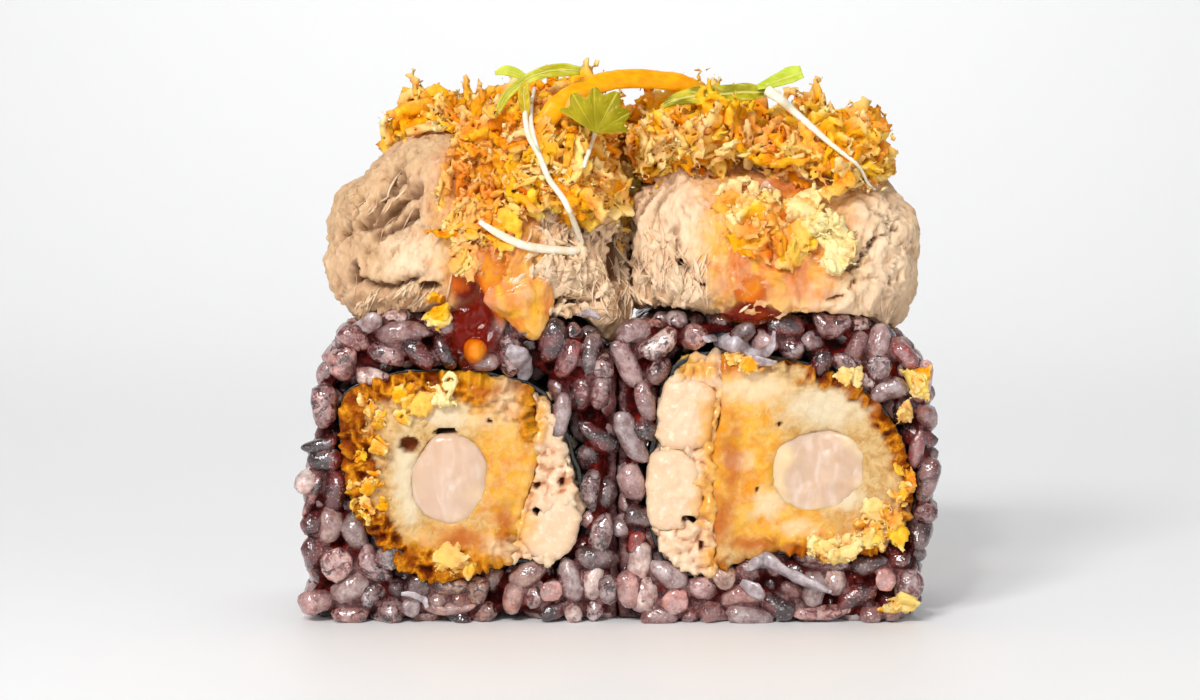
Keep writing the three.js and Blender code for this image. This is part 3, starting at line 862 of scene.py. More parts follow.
def fried_batter():
    finish = finish_named("fried_batter")
    tree = finish.node_tree
    fluff = mottle(tree, 1.2 * MM, 5.0, 0.7, 0.6)
    dough = blend(tree, between(tree, fluff, 0.3, 0.66), (0.55, 0.30, 0.085), (0.76, 0.53, 0.25))
    dough = blend(tree, attribute(tree, "pale"), dough, (0.80, 0.66, 0.44))
    # painted shade: the crust is darkest in the hollows of its relief and golden on its ridges
    raised = roughened(tree, attribute(tree, "tuft"), mottle(tree, 0.55 * MM, 4.0, 0.7), 0.9)
    crumb = blend(tree, between(tree, raised, 0.4, 0.92), (0.12, 0.012, 0.0002), (0.62, 0.19, 0.001))
    crumb = blend(tree, between(tree, raised, 0.7, 1.1), crumb, (0.88, 0.43, 0.02))
    toasted = times(tree, between(tree, mottle(tree, 3.0 * MM, 3.0, 0.6), 0.47, 0.66), 0.75)
    crumb = blend(tree, toasted, crumb, (0.36, 0.065, 0.001))
    crumb = blend(tree, attribute(tree, "edge"), crumb, (0.13, 0.02, 0.001))
    colour = blend(tree, attribute(tree, "crust"), dough, crumb)
    darker = between(tree, mottle(tree, 2.2 * MM, 3.0, 0.6, 0.8), 0.35, 0.68)
    wash = blend(tree, darker, (0.94, 0.48, 0.014), (0.84, 0.29, 0.002))
    patchy = from_to(tree, between(tree, fluff, 0.36, 0.6), 1.0, 0.65)
    colour = blend(tree, times(tree, attribute(tree, "glaze"), patchy), colour, wash)
    colour = blend(tree, times(tree, attribute(tree, "cream"), 0.8), colour, (0.95, 0.70, 0.42))
    colour = blend(tree, times(tree, attribute(tree, "thick"), 0.8), colour, (0.52, 0.11, 0.003))
    # painted shade inside the holes
    colour = blend(tree, attribute(tree, "pit"), colour, (0.20, 0.045, 0.008))
    relief = bumps(tree, mottle(tree, 0.32 * MM, 4.0, 0.7), 0.13 * MM, 0.9)
    relief = bumps(tree, fluff, 0.3 * MM, 0.8, relief)
    return close_finish(
        finish,
        {
            "Base Color": colour,
            "Roughness": from_to(tree, attribute(tree, "glaze"), 0.55, 0.25),
            "Specular IOR Level": 0.12,
            "Normal": relief,
            "Subsurface Weight": 0.2,
            "Subsurface Radius": (1.0, 0.7, 0.3),
            "Subsurface Scale": 0.6 * MM,
            "Coat Weight": times(tree, attribute(tree, "glaze"), 0.35),
            "Coat Roughness": 0.1,
        },
    )


def fry(side, seed):
    batter = copy_of(f"batter_{side}", f"fried_batter_{side}")
    even_skin(batter, SKIN)
    flat = places_of(batter)
    nori_gap = distance_to(surface_of(bpy.data.objects[f"nori_sheet_{side}"]), flat)
    wander = 0.5 * waver(flat, 4 * MM, seed) + 0.3 * waver(flat, 1.2 * MM, seed, 2)
    crust = ramp_up(CRUST[side] * (1 + wander) - nori_gap, -0.4 * MM, 0.6 * MM)
    edge_width = 0.7 * MM + 0.6 * MM * waver(flat, 2 * MM, seed + 7)
    tuft = tufts(flat, seed + 2)
    pit = pits(flat, DOUGH_HOLES[side])
    dough = 0.2 * waver(flat, 2.6 * MM, seed + 4, 2) + 0.12 * waver(flat, 0.8 * MM, seed + 5, 2)
    outwards = directions_of(batter)
    front = np.clip(1.4 * np.abs(outwards[:, 1]), 0.3, 1)
    height = SWELL + MM * (1.35 * crust * tuft * front + (1 - crust) * dough) - PIT_DEPTH * pit
    move_to(batter, flat + outwards * height[:, None])
    mark(batter, "crust", crust)
    # the crust's relief, which also paints shade into its hollows
    mark(batter, "tuft", 0.5 + 0.5 * tuft)
    mark(batter, "glaze", GLAZE_STRENGTH[side] * patches(flat, GLAZED[side], seed + 1))
    mark(batter, "thick", patches(flat, THICK_GLAZE[side], seed + 8, 0.8))
    mark(batter, "cream", patches(flat, CREAMY[side], seed + 9, 0.8))
    # the holes, darkened inside by painted shade
    mark(batter, "pit", pit)
    mark(batter, "pale", patches(flat, PALE_DOUGH[side], seed + 6))
    mark(batter, "edge", ramp_up(edge_width - nori_gap, 0, 0.6 * MM))
    batter.data.materials.append(fried_batter_finish)
    hand_in(batter, "fried_batter", f"batter_{side}")


fried_batter_finish = fried_batter()
fry("left", 41)
fry("right", 52)


# ---- prawns --------------------------------------------------------------------------------------
# A peeled prawn's tail runs through each batter. Its cut is smooth, moist and pinkish white with
# bands of muscle. The left one is domed, and the right one uneven and a little behind the dough.

PRAWN_SKIN = 0.3 * MM
PRAWN_DOME = 0.25 * MM
PRAWN_UNEVEN = {"left": 0.2 * MM, "right": 0.5 * MM}
PRAWN_SUNK = {"left": 0.1 * MM, "right": 0.3 * MM}  # where the flesh merges with the dough
PRAWN_RIM = {"left": 0.4, "right": 0.8}  # how much of the dough's colour its rim takes there
GLAZE_SIDE = {"left": 1.3, "right": -1.0}  # on which side, and how far, sauce has stained it


def cooked_prawn():
    finish = finish_named("cooked_prawn")
    tree = finish.node_tree
    flesh = blend(tree, mottle(tree, 4.0 * MM, 2.0), (0.69, 0.48, 0.36), (0.68, 0.45, 0.28))
    bands = between(tree, mottle(tree, 1.7 * MM, 3.0, 0.5, 1.2, (1.0, 1.0, 0.4)), 0.45, 0.8)
    flesh = blend(tree, bands, flesh, (0.76, 0.59, 0.48))
    flesh = blend(tree, attribute(tree, "stain"), flesh, (0.83, 0.60, 0.34))
    relief = bumps(tree, mottle(tree, 0.8 * MM, 3.0), 0.06 * MM, 0.6)
    return close_finish(
        finish,
        {
            "Base Color": flesh,
            "Roughness": 0.3,
            "Normal": relief,
            "Subsurface Weight": 0.4,
            "Subsurface Radius": (1.0, 0.55, 0.35),
            "Subsurface Scale": 1.8 * MM,
            "Coat Weight": 0.4,
            "Coat Roughness": 0.15,
        },
    )


cooked_prawn_finish = cooked_prawn()
for side, seed in (("left", 61), ("right", 62)):
    prawn = copy_of(f"prawn_{side}", f"cooked_prawn_{side}")
    even_skin(prawn, PRAWN_SKIN)
    apply_modifier(prawn, "SMOOTH", factor=0.8, iterations=6)
    flat = places_of(prawn)
    outwards = directions_of(prawn)
    low, high = corners_of(f"prawn_{side}")
    middle = (low + high) / 2
    rounding = (flat - middle) / (high - low) * 2
    dome = np.clip(1 - rounding[:, 0] ** 2 - rounding[:, 2] ** 2, 0, 1)
    uneven = waver(flat, 3.0 * MM, seed, 2)
    rim = ramp_up(np.hypot(rounding[:, 0], rounding[:, 2]) + 0.35 * uneven, 0.55, 1.0)
    merged = np.ones(len(flat))
    if side == "left":
        merged = ramp_up(rounding[:, 0] - 0.5 * rounding[:, 2] + 0.3 * uneven, 0.2, 1.0)
    height = SWELL + PRAWN_UNEVEN[side] * uneven - PRAWN_SUNK[side] * merged
    height += (1 - merged) * PRAWN_DOME * (2 * dome - 0.4)
    flat = middle + (flat - middle) * (1 + merged[:, None] * [0.1, 0, 0.08])
    swayed = [waver(flat, 3.2 * MM, seed + k) for k in (5, 6)]
    flat[:, [0, 2]] += 0.35 * MM * np.stack(swayed, 1)
    move_to(prawn, flat + outwards * height[:, None])
    toward_glaze = ramp_up(GLAZE_SIDE[side] * rounding[:, 0] + 0.8 * uneven, 0.2, 1.6)
    stain = 0.6 * toward_glaze + PRAWN_RIM[side] * merged * rim**2
    mark(prawn, "stain", np.clip(stain, 0, 1))
    prawn.data.materials.append(cooked_prawn_finish)
    hand_in(prawn, "prawn", f"prawn_{side}")


# ---- salmon --------------------------------------------------------------------------------------
# Pale cooked salmon fills the rest of each roll: crumbled flakes with small hollows between them,
# and firmer chunks with smooth cut faces.

SALMON_HOLES = {
    "left": [
        (-9.8, 16.6, 0.45, 0.4), (-6.8, 17.0, 0.35, 0.6), (-9.7, 13.6, 0.5, 0.45), (-5.6, 20.4, 0.3, 0.4),
    ],
    "right": [(8.3, 12.6, 0.8, 0.4), (9.9, 9.4, 0.3, 0.7), (4.9, 22.0, 0.3, 0.4)],
}
SALMON_GLAZED = {
    "left": [(-11.6, 20.0, 1.6, 6.5), (-11.8, 11.6, 1.6, 2.4), (-9.4, 24.6, 0.9, 2.4)],
    "right": [(11.4, 22.0, 1.7, 6.0), (10.6, 14.6, 1.4, 4.2), (11.6, 8.0, 1.6, 1.6), (9.0, 30.6, 2.4, 1.2)],
}


def cooked_salmon():
    finish = finish_named("cooked_salmon")
    tree = finish.node_tree
    flesh = blend(tree, mottle(tree, 2.2 * MM, 3.0), (0.84, 0.53, 0.31), (0.90, 0.68, 0.48))
    curd = between(tree, mottle(tree, 0.8 * MM, 3.0), 0.5, 0.75)
    flesh = blend(tree, curd, flesh, (0.96, 0.78, 0.58))
    flesh = blend(tree, attribute(tree, "glaze"), flesh, (0.85, 0.42, 0.07))
    # painted shade: the hollows between lumps and the small holes are darkened
    flesh = blend(tree, attribute(tree, "hollow"), flesh, (0.50, 0.17, 0.045))
    flesh = blend(tree, attribute(tree, "pit"), flesh, (0.20, 0.03, 0.008))
    relief = bumps(tree, mottle(tree, 0.36 * MM, 4.0, 0.65), 0.1 * MM, 0.8)
    return close_finish(
        finish,
        {
            "Base Color": flesh,
            "Roughness": from_to(tree, attribute(tree, "glaze"), 0.5, 0.2),
            "Normal": relief,
            "Subsurface Weight": 0.3,
            "Subsurface Radius": (1.0, 0.45, 0.2),
            "Subsurface Scale": 1.3 * MM,
            "Coat Weight": times(tree, attribute(tree, "glaze"), 0.6),
            "Coat Roughness": 0.12,
        },
    )


def pack_salmon(node_name, side, seed, crumbled, proud=0.0):
    """One piece of salmon: crumbled 1 is lumpy with hollows and 0 smooth, and proud is millimetres."""
    salmon = copy_of(node_name, f"cooked_{node_name}")
    even_skin(salmon, SKIN)
    flat = places_of(salmon)
    lumps = 0.9 - 2.4 * np.abs(waver(flat, 2.6 * MM, seed, 2))
    curds = waver(flat, 0.9 * MM, seed + 1, 3)
    pit = pits(flat, SALMON_HOLES[side])
    relief = (-0.7 * lumps + 0.45 * curds) * crumbled + 0.24 * waver(flat, 1.6 * MM, seed + 2, 3)
    height = SWELL + MM * (relief + proud) - PIT_DEPTH * pit
    move_to(salmon, flat + directions_of(salmon) * height[:, None])
    mark(salmon, "glaze", patches(flat, SALMON_GLAZED[side], seed + 3))
    # for the painted shade in the hollows and holes
    mark(salmon, "hollow", crumbled * 0.8 * ramp_up(lumps - 0.4 * curds, 0.55, 0.9))
    mark(salmon, "pit", pit)
    salmon.data.materials.append(cooked_salmon_finish)
    hand_in(salmon, "salmon", node_name)


cooked_salmon_finish = cooked_salmon()
pack_salmon("salmon_flakes_left", "left", 71, 1.0)
pack_salmon("salmon_chunk_left", "left", 72, 0.05, 0.4)
pack_salmon("salmon_flakes_right", "right", 73, 1.0)
pack_salmon("salmon_cube_right", "right", 74, 0.15, 0.45)
pack_salmon("salmon_slab_right", "right", 75, 0.12, 0.35)


# ---- pulled fish ---------------------------------------------------------------------------------
# A mound of cooked fish pulled into fine fibres lies on each slice. It is matt tan, cracked and
# folded where it was pressed together, and torn into loose shreds where the mounds meet.

MOUND_SKIN = 0.3 * MM

# Loose fibres: across, up, half width, half height in millimetres, how many, and how far they
# stray from the usual lean, in degrees.
FIBRES = {
    "between": (-3.6, 43.0, 5.6, 7.0, 230, 40),
    "right_foot": (5.6, 39.5, 5.0, 4.6, 150, 34),
    "left_fold": (-28.2, 49.0, 4.0, 4.0, 12, 12),
    "right_hem": (22.0, 36.4, 12.0, 1.4, 90, 26),
    "left_hem": (-24.0, 38.6, 9.0, 1.6, 40, 18),
}
STRIPS = {  # wider torn strips, given in the same way
    "between": (-4.0, 43.5, 5.4, 7.0, 120, 50),
    "lump": (-9.6, 42.0, 3.0, 5.0, 16, 30),
    "right_foot": (5.2, 41.0, 4.2, 5.4, 50, 40),
    "right_hem": (22.0, 36.6, 11.0, 1.2, 22, 30),
}
SHREDS = [  # their places, least and greatest width in millimetres, length factor and flatness
    (FIBRES, (0.14, 0.42), 1.0, 0.6),
    (STRIPS, (0.6, 1.9), 1.1, 0.35),
]
SHRED_LENGTHS = (1.2 * MM, 4.0 * MM)
SHRED_TAPER = [0.1, 0.6, 0.85, 1, 0.95, 0.8, 0.55, 0.1]
FIBRE_LEAN_AT = [-36, -24, -14, 0, 8, 22, 37]  # across, in millimetres
FIBRE_LEAN = [40, 55, 80, 104, 78, 98, 72]  # lean of the fibres there, in degrees

CRACKS = {  # each an open line of places across and up, and its half width, in millimetres
    "left": [
        ([(-31.0, 47.2), (-28.6, 49.8), (-25.6, 53.2)], 0.5),
        ([(-29.4, 47.2), (-26.6, 49.4), (-23.8, 52.0)], 0.6),
        ([(-28.6, 46.4), (-26.2, 47.4), (-24.0, 48.8)], 0.5),
        ([(-27.2, 52.6), (-25.6, 54.8)], 0.35),
        ([(-33.6, 46.0), (-31.6, 48.2), (-30.6, 50.2)], 0.3),
        ([(-31.4, 40.8), (-28.8, 40.2), (-26.4, 40.2), (-23.8, 41.2)], 0.45),
    ],
    "right": [
        ([(28.6, 43.4), (29.4, 44.6), (30.8, 46.0), (33.4, 47.2)], 0.16),
        ([(27.0, 42.6), (28.4, 42.9)], 0.2),
        ([(32.6, 40.6), (34.4, 41.2)], 0.15),
        ([(24.6, 38.6), (26.8, 39.4), (28.2, 41.2)], 0.12),
        ([(30.2, 49.4), (32.0, 48.4), (33.0, 46.8)], 0.12),
        ([(6.0, 44.4), (7.0, 43.2), (8.2, 42.4)], 0.5),
        ([(8.6, 41.2), (9.8, 40.6)], 0.35),
    ],
}

# Spots on the mounds' fronts: across, up, half width and half height in millimetres.
FISH_PITS = {
    "left": [
        (-32.0, 41.8, 0.9, 1.5), (-22.4, 40.2, 1.2, 0.6), (-3.6, 46.2, 1.0, 1.9),
        (-1.0, 43.4, 0.9, 3.6), (-5.4, 38.4, 2.8, 0.8),
    ],
    "right": [(1.2, 43.0, 0.9, 4.0), (6.9, 43.5, 0.7, 0.35)],
}
SOAKED = {  # by the sauce
    "left": [(-16.2, 48.0, 4.4, 9.5), (-13.0, 42.0, 5.2, 7.5), (-12.0, 50.0, 3.0, 5.0)],
    "right": [(14.0, 46.0, 3.8, 9.0), (19.6, 43.4, 6.4, 7.0), (20.5, 50.0, 6.4, 5.0)],
}
LAYER_WIDTH = 3.2 * MM
LAYERED = {"left": [(-28.5, 49.0, 4.6, 5.0), (-26.0, 38.5, 7.0, 2.2)], "right": [(31.0, 44.0, 3.0, 3.0)]}
STREAMS = {  # where the sauce ran thickest
    "left": [(-15.6, 43.0, 1.9, 6.0), (-17.8, 48.0, 1.2, 5.0), (-12.2, 49.0, 1.6, 4.4)],
    "right": [
        (14.4, 45.0, 1.4, 6.5), (15.4, 40.2, 2.4, 1.8), (18.8, 52.4, 3.4, 1.8), (21.0, 42.0, 1.6, 3.0),
    ],
}
STREAM_STRETCH = 0.6  # heights are shrunk by this, so the streams' outlines waver less upwards
TORN = {"left": [(-4.2, 44.0, 5.6, 8.0)], "right": [(3.6, 43.0, 4.2, 9.0)]}
# paler patches on the fronts: partly paler fish and partly a painted sheen where the fronts catch the light
PALE_AND_LIT_FISH = {
    "left": [
        (-8.5, 41.0, 2.6, 4.0), (-4.6, 49.0, 3.4, 2.4), (-24.4, 44.0, 3.0, 3.2), (-5.0, 43.0, 4.4, 6.0),
    ],
    "right": [(6.0, 46.0, 5.0, 9.0), (31.0, 44.0, 6.0, 8.0), (25.0, 39.0, 5.0, 3.0)],
}
RIDGE_ACROSS = -22.5 * MM  # the left mound's ridge, under the end of its heap of crumbs
RIDGE_WIDTH = 3.6 * MM  # half of it
RIDGE_HEIGHT = 1.8 * MM
RIDGE_FADES_IN = (51 * MM, 55 * MM)  # heights between which it rises
LUMP_MIDDLE = np.array([-11.9, -13.3, 38.6]) * MM
LUMP_REACH = np.array([4.0, 1.7, 4.4]) * MM


def pulled_fish():
    finish = finish_named("pulled_fish")
    tree = finish.node_tree
    fine = mottle(tree, 0.9 * MM, 4.0, 0.65, 0.5, (1.0, 1.0, 0.45))
    # painted shade and light: low parts of the relief are darker, raised parts lighter
    fine = combined(tree, "ADD", fine, times(tree, attribute(tree, "raised"), 0.35))
    flesh = blend(tree, between(tree, fine, 0.2, 0.5), (0.42, 0.22, 0.10), (0.70, 0.45, 0.245))
    flesh = blend(tree, between(tree, fine, 0.5, 0.8), flesh, (0.83, 0.58, 0.355))
    rosy = between(tree, mottle(tree, 6.0 * MM, 2.0), 0.4, 0.7)
    flesh = blend(tree, times(tree, rosy, 0.35), flesh, (0.70, 0.43, 0.28))
    streaked = from_to(tree, between(tree, fine, 0.2, 0.6), 0.35, 0.85)
    flesh = blend(tree, times(tree, attribute(tree, "pale"), streaked), flesh, (0.97, 0.73, 0.50))
    redder = between(tree, mottle(tree, 3.0 * MM, 3.0, 0.6, 0.8), 0.35, 0.65)
    amber = blend(tree, redder, (0.90, 0.45, 0.012), (0.77, 0.22, 0.001))
    streaks = between(tree, mottle(tree, 1.3 * MM, 4.0, 0.6, 0.5, (1.0, 1.0, 0.3)), 0.36, 0.62)
    amber = blend(tree, between(tree, attribute(tree, "thick"), 0.2, 0.8), amber, (0.72, 0.17, 0.001))
    soaked = times(tree, attribute(tree, "soak"), from_to(tree, streaks, 1.0, 0.8))
    flesh = blend(tree, soaked, flesh, amber)
    # painted shade in the cracks, pits, torn hollows and under the layers' edges
    flesh = blend(tree, attribute(tree, "dark"), flesh, (0.17, 0.07, 0.03))
    relief = bumps(tree, mottle(tree, 0.4 * MM, 4.0, 0.7, 0.4, (1.0, 1.0, 0.5)), 0.16 * MM, 0.9)
    return close_finish(
        finish,
        {
            "Base Color": flesh,
            "Roughness": from_to(tree, attribute(tree, "soak"), 0.6, 0.25),
            "Normal": relief,
            "Specular IOR Level": 0.25,
            "Subsurface Weight": 0.12,
            "Subsurface Radius": (1.0, 0.5, 0.25),
            "Subsurface Scale": 0.8 * MM,
            "Coat Weight": times(tree, attribute(tree, "soak"), 0.3),
            "Coat Roughness": 0.07,
        },
    )


def near_line(places, line):
    """How far each place lies from an open line on the front, across and up."""
    best = np.full(len(places), 1.0)
    spots = places[:, [0, 2]]
    for start, end in zip(line[:-1], line[1:]):
        start, end = np.array(start) * MM, np.array(end) * MM
        way = end - start
        share = np.clip(((spots - start) @ way) / (way @ way), 0, 1)
        best = np.minimum(best, np.linalg.norm(spots - start - share[:, None] * way, axis=1))
    return best


def lean_at(across):
    """The usual lean of the fibres at a place across the front, in degrees."""
    return np.interp(across / MM, FIBRE_LEAN_AT, FIBRE_LEAN)


def mound_of_fish(side, seed):
    """One mound: combed into fibres, folded, cracked, and torn into strips near the other one."""
    fish = copy_of(f"fish_{side}", f"pulled_fish_{side}")
    even_skin(fish, MOUND_SKIN)
    apply_modifier(fish, "SMOOTH", factor=0.6, iterations=8)
    flat = places_of(fish)
    outwards = directions_of(fish)
    lean = np.radians(lean_at(flat[:, 0]) + 14 * waver(flat, 8 * MM, seed + 9))
    along = flat[:, 0] * np.cos(lean) + flat[:, 2] * np.sin(lean)
    across = flat[:, 2] * np.cos(lean) - flat[:, 0] * np.sin(lean)
    combed = np.stack([0.22 * along, flat[:, 1], across], 1)
    fibre = waver(combed, 0.75 * MM, seed, 2)
    strips = waver(combed, 1.9 * MM, seed + 4, 2)
    folds = waver(flat, 7 * MM, seed + 1, 2)
    lumps = waver(flat, 2.2 * MM, seed + 2, 3)
    torn = patches(flat, TORN[side], seed + 3, 0.6)
    front = ramp_up(-outwards[:, 1], -0.2, 0.4)
    ragged = 0.5 * MM * waver(flat, 0.9 * MM, seed + 5, 2)
    cracked = np.zeros(len(flat))
    lifted = np.zeros(len(flat))
    for line, half_width in CRACKS[side]:
        gap = near_line(flat, line) + ragged
        cracked = np.maximum(cracked, np.exp(-((gap / (half_width * MM)) ** 2)) * front)
        lifted = np.maximum(lifted, np.exp(-(((gap - 1.3 * MM) / (0.8 * MM)) ** 2)) * front)
    pit = pits(flat, FISH_PITS[side]) * front
    toward_seam = outwards[:, 0] * (1 if side == "left" else -1)
    seam = ramp_up(4 * MM - np.abs(flat[:, 0]), 0, 3 * MM) * ramp_up(toward_seam, 0.0, 0.6)
    raised = 0.35 * lumps + 0.4 * fibre + 0.4 * strips * (0.5 + 2.6 * torn)
    height = MM * (0.7 * folds + 0.75 * raised + 0.4 * lifted - 0.4 * torn + 1.5 * seam)
    height -= 1.4 * MM * cracked + 2.0 * MM * pit + 0.2 * MM
    layer = across / LAYER_WIDTH + 0.8 * waver(flat, 6 * MM, seed + 11, 2)
    layer += 0.25 * waver(flat, 1.6 * MM, seed + 12, 2)
    layer -= np.floor(layer)
    layered = front * (0.25 + patches(flat, LAYERED[side], seed + 13, 0.6)) * (1 - torn)
    height += 0.9 * MM * layered * (layer**1.5 - 0.5)
    if side == "left":
        ridge = np.exp(-(((flat[:, 0] - RIDGE_ACROSS) / RIDGE_WIDTH) ** 2))
        height += RIDGE_HEIGHT * ridge * ramp_up(flat[:, 2], *RIDGE_FADES_IN)
    move_to(fish, flat + outwards * height[:, None])
    mark(fish, "soak", 0.95 * patches(flat, SOAKED[side], seed + 6, 0.8) * front)
    streams = [(a, STREAM_STRETCH * b, c, STREAM_STRETCH * d) for a, b, c, d in STREAMS[side]]
    thick = patches(flat * [1, 1, STREAM_STRETCH], streams, seed + 14, 0.8)
    mark(fish, "thick", thick * front)
    # paler fish, partly painted sheen
    mark(fish, "pale", patches(flat, PALE_AND_LIT_FISH[side], seed + 7, 0.8) * front)
    # the relief, which also paints light and shade on the flesh
    mark(fish, "raised", raised)
    # painted shade: cracks, pits, the hollows between torn strips and the foot of each layer's edge are
    # darkened
    under_edge = layered * (1 - ramp_up(layer, 0.0, 0.16))
    dark = 0.85 * cracked + pit + 0.75 * torn * ramp_up(-strips, 0.05, 0.5) + 0.35 * under_edge
    mark(fish, "dark", np.clip(dark, 0, 1))
    fish.data.materials.append(pulled_fish_finish)
    hand_in(fish, "pulled_fish", f"fish_{side}")
    return fish


def soaked_lump(seed):
    """A lump of fish soaked through with sauce that has slipped down over the rice."""
    deselect()
    bpy.ops.mesh.primitive_ico_sphere_add(subdivisions=5, radius=1, location=(0, 0, 0))
    lump = bpy.context.object
    lump.name = "soaked_lump"
    round_places = places_of(lump)
    low_end = np.clip(-round_places[:, 2], 0, 1)
    places = round_places * LUMP_REACH
    places[:, 0] *= 1 - 0.45 * low_end
    places[:, 0] += 1.6 * MM * low_end
    uneven = waver(places, 4.4 * MM, seed, 2) + 0.3 * waver(places, 1.3 * MM, seed + 1, 3)
    places += round_places * (0.9 * MM * uneven)[:, None]
    move_to(lump, places + LUMP_MIDDLE)
    bpy.ops.object.shade_smooth()
    # painted light and shade: the lump's bulges are paler and lighter, its dips darker
    mark(lump, "raised", uneven)
    mark(lump, "soak", np.clip(0.85 - 0.4 * uneven, 0, 1))
    mark(lump, "thick", ramp_up(-places[:, 0] - 1.4 * MM + MM * uneven, 0, 2.4 * MM))
    mark(lump, "pale", np.clip(0.4 + 0.5 * uneven, 0, 1))
    lump.data.materials.append(pulled_fish_finish)
    hand_in(lump, "pulled_fish")


def front_of(surfaces, across, up):
    """Where a line from the front first meets any of the surfaces, and the way out there."""
    hits = [surface.ray_cast(Vector((across, -0.06, up)), Vector((0, 1, 0))) for surface in surfaces]
    hits = [(hit[0].y, hit[0], hit[1]) for hit in hits if hit[0] is not None]
    if not hits:
        return None, None
    _, place, outwards = min(hits, key=lambda hit: hit[0])
    return np.array(place), np.array(outwards)


def shred(rng, across, up, stray, widths, longer, flatness):
    """One thread of fish on the mounds, or None where it would hang over an edge."""
    lean = math.radians(lean_at(across) + rng.normal(0, stray))
    length = longer * rng.uniform(*SHRED_LENGTHS)
    bow = rng.normal(0, 0.07) * length
    line = []
    for share in np.linspace(-0.5, 0.5, len(SHRED_TAPER)):
        sideways = bow * (1 - 4 * share * share)
        x = across + length * share * math.cos(lean) - sideways * math.sin(lean)
        z = up + length * share * math.sin(lean) + sideways * math.cos(lean)
        place, _ = front_of(mounds, x, z)
        line.append(None if place is None else place - [0, rng.uniform(0.0, 0.3) * MM, 0])
    if any(place is None for place in line):
        return None
    line = np.array(line)
    if np.ptp(line[:, 1]) > 3 * MM:
        return None
    line[0, 1] -= rng.uniform(-0.4, 1.0) * MM
    line[-1, 1] -= rng.uniform(-0.4, 1.0) * MM
    taper = np.array(SHRED_TAPER) * rng.uniform(0.8, 1.2, len(SHRED_TAPER))
    return rod(line, rng.uniform(*widths) * MM * taper, 6, flatness, rng.uniform(0, 3))


pulled_fish_finish = pulled_fish()
mounds = [surface_of(mound_of_fish("left", 81)), surface_of(mound_of_fish("right", 92))]

rng = np.random.default_rng(7)
shreds = []
for kinds, widths, longer, flatness in SHREDS:
    for across, up, half_wide, half_high, count, stray in kinds.values():
        for _ in range(count):
            x = (across + half_wide * rng.uniform(-1, 1)) * MM
            z = (up + half_high * rng.uniform(-1, 1)) * MM
            shreds.append(shred(rng, x, z, stray, widths, longer, flatness))
soaked_lump(95)
shreds = [thread for thread in shreds if thread is not None]
fibres = joined("fish_fibres", *gathered(shreds), pulled_fish_finish)
mark(fibres, "raised", np.full(len(fibres.data.vertices), 0.5))
mark(fibres, "pale", 0.8 + 0.4 * waver(places_of(fibres), 3 * MM, 12))
hand_in(fibres, "pulled_fish")


# ---- fried crumbs --------------------------------------------------------------------------------
# Coarse crumbs fried golden lie heaped on the mounds and hang down their fronts. They are spongy
# curled flakes with ragged edges, some paler than others, with a painted highlight on their rims and
# on the heaps' ridges, and painted shade, deep orange, in the heaps' hollows.

CRUMB_SKIN = 0.4 * MM
FLAKE_STEP = 0.32 * MM
BIG_FLAKES = 150
SMALL_FLAKES = 50
HEAP_SINK = 2.1 * MM
HEAP_ENDS = (-28.2 * MM, 31.0 * MM)
CRUMB_LEAN = [60, 70, 82, 96, 96, 90, 80]  # lean of the hanging flakes across the front, in degrees
HANGING_STRAY = 0.35
FRONT_LIMIT = -15.5 * MM  # flakes that would reach past this lean back
LOW_EDGES = {  # across, and how low the flakes of each heap lie there, in millimetres
    "left": ([-30, -26, -22, -18.6, -17.4, 1], [54.5, 56.8, 59.4, 58.6, 50, 48]),
    "right": ([0, 3, 6, 12, 18, 25, 29, 34], [53, 56.5, 58.5, 58, 55.5, 56, 53, 52]),
}

# Crumbs on the fronts: across, up, half width, half height in millimetres, how many, how pale.
HANGING_CRUMBS = [
    (-16.6, 52.6, 4.2, 5.4, 44, 0.2), (-18.2, 46.6, 1.4, 3.6, 13, 0.2), (-14.2, 49.4, 2.2, 2.6, 6, 0.1),
    (-9.0, 55.0, 4.6, 3.6, 34, 0.15), (-2.8, 52.6, 4.4, 3.4, 34, 0.25), (0.0, 49.2, 1.2, 2.4, 8, 0.3),
    (6.5, 57.4, 4.0, 1.2, 14, 0.45), (17.5, 56.6, 6.5, 1.6, 22, 0.3), (29.6, 55.2, 3.2, 3.4, 22, 0.2),
    (20.6, 54.4, 3.0, 1.6, 12, 0.15),
]
SOAKED_CRUMBS = [
    (14.4, 49.8, 1.3, 1.6, 6, 0.7), (17.4, 48.6, 2.6, 2.6, 10, 0.2), (22.6, 48.8, 1.5, 1.8, 7, 0.8),
    (25.8, 45.4, 1.5, 2.4, 8, 0.85), (21.2, 45.2, 2.4, 2.4, 7, 0.15), (16.4, 44.2, 3.0, 2.0, 4, 0.0),
]
STUCK_CRUMBS = [
    (-21.2, 37.8, 1.0, 1.9, 6, 0.0), (33.4, 2.2, 1.6, 1.1, 12, 0.5), (35.8, 28.6, 0.7, 1.5, 7, 0.4),
    (27.4, 30.1, 0.9, 0.7, 6, 0.5), (34.3, 25.2, 0.5, 0.6, 4, 0.4), (10.4, 31.2, 1.4, 1.4, 12, 0.4),
    (25.6, 9.0, 2.6, 1.3, 20, 0.5), (31.0, 11.6, 3.0, 2.4, 18, 0.15), (-29.2, 15.2, 1.4, 3.2, 11, 0.0),
    (-31.6, 15.8, 0.8, 1.7, 5, 0.2), (-26.0, 26.6, 5.0, 1.8, 10, 0.1), (-20.5, 27.9, 1.4, 1.5, 9, 0.9),
    (-29.6, 22.6, 1.6, 3.6, 8, 0.1), (-20.0, 7.6, 4.2, 1.3, 8, 0.15), (33.6, 17.0, 1.2, 4.0, 6, 0.1),
    (13.5, 31.4, 2.2, 0.8, 6, 0.2),
]
SAUCED_CRUMBS = [  # where crumbs are redder with sauce: across, up, half width, half height
    (-16.6, 50.6, 3.2, 8.0), (-9.6, 60.0, 2.4, 3.6), (17.0, 45.6, 3.0, 3.4), (18.0, 58.4, 3.0, 2.0),
]


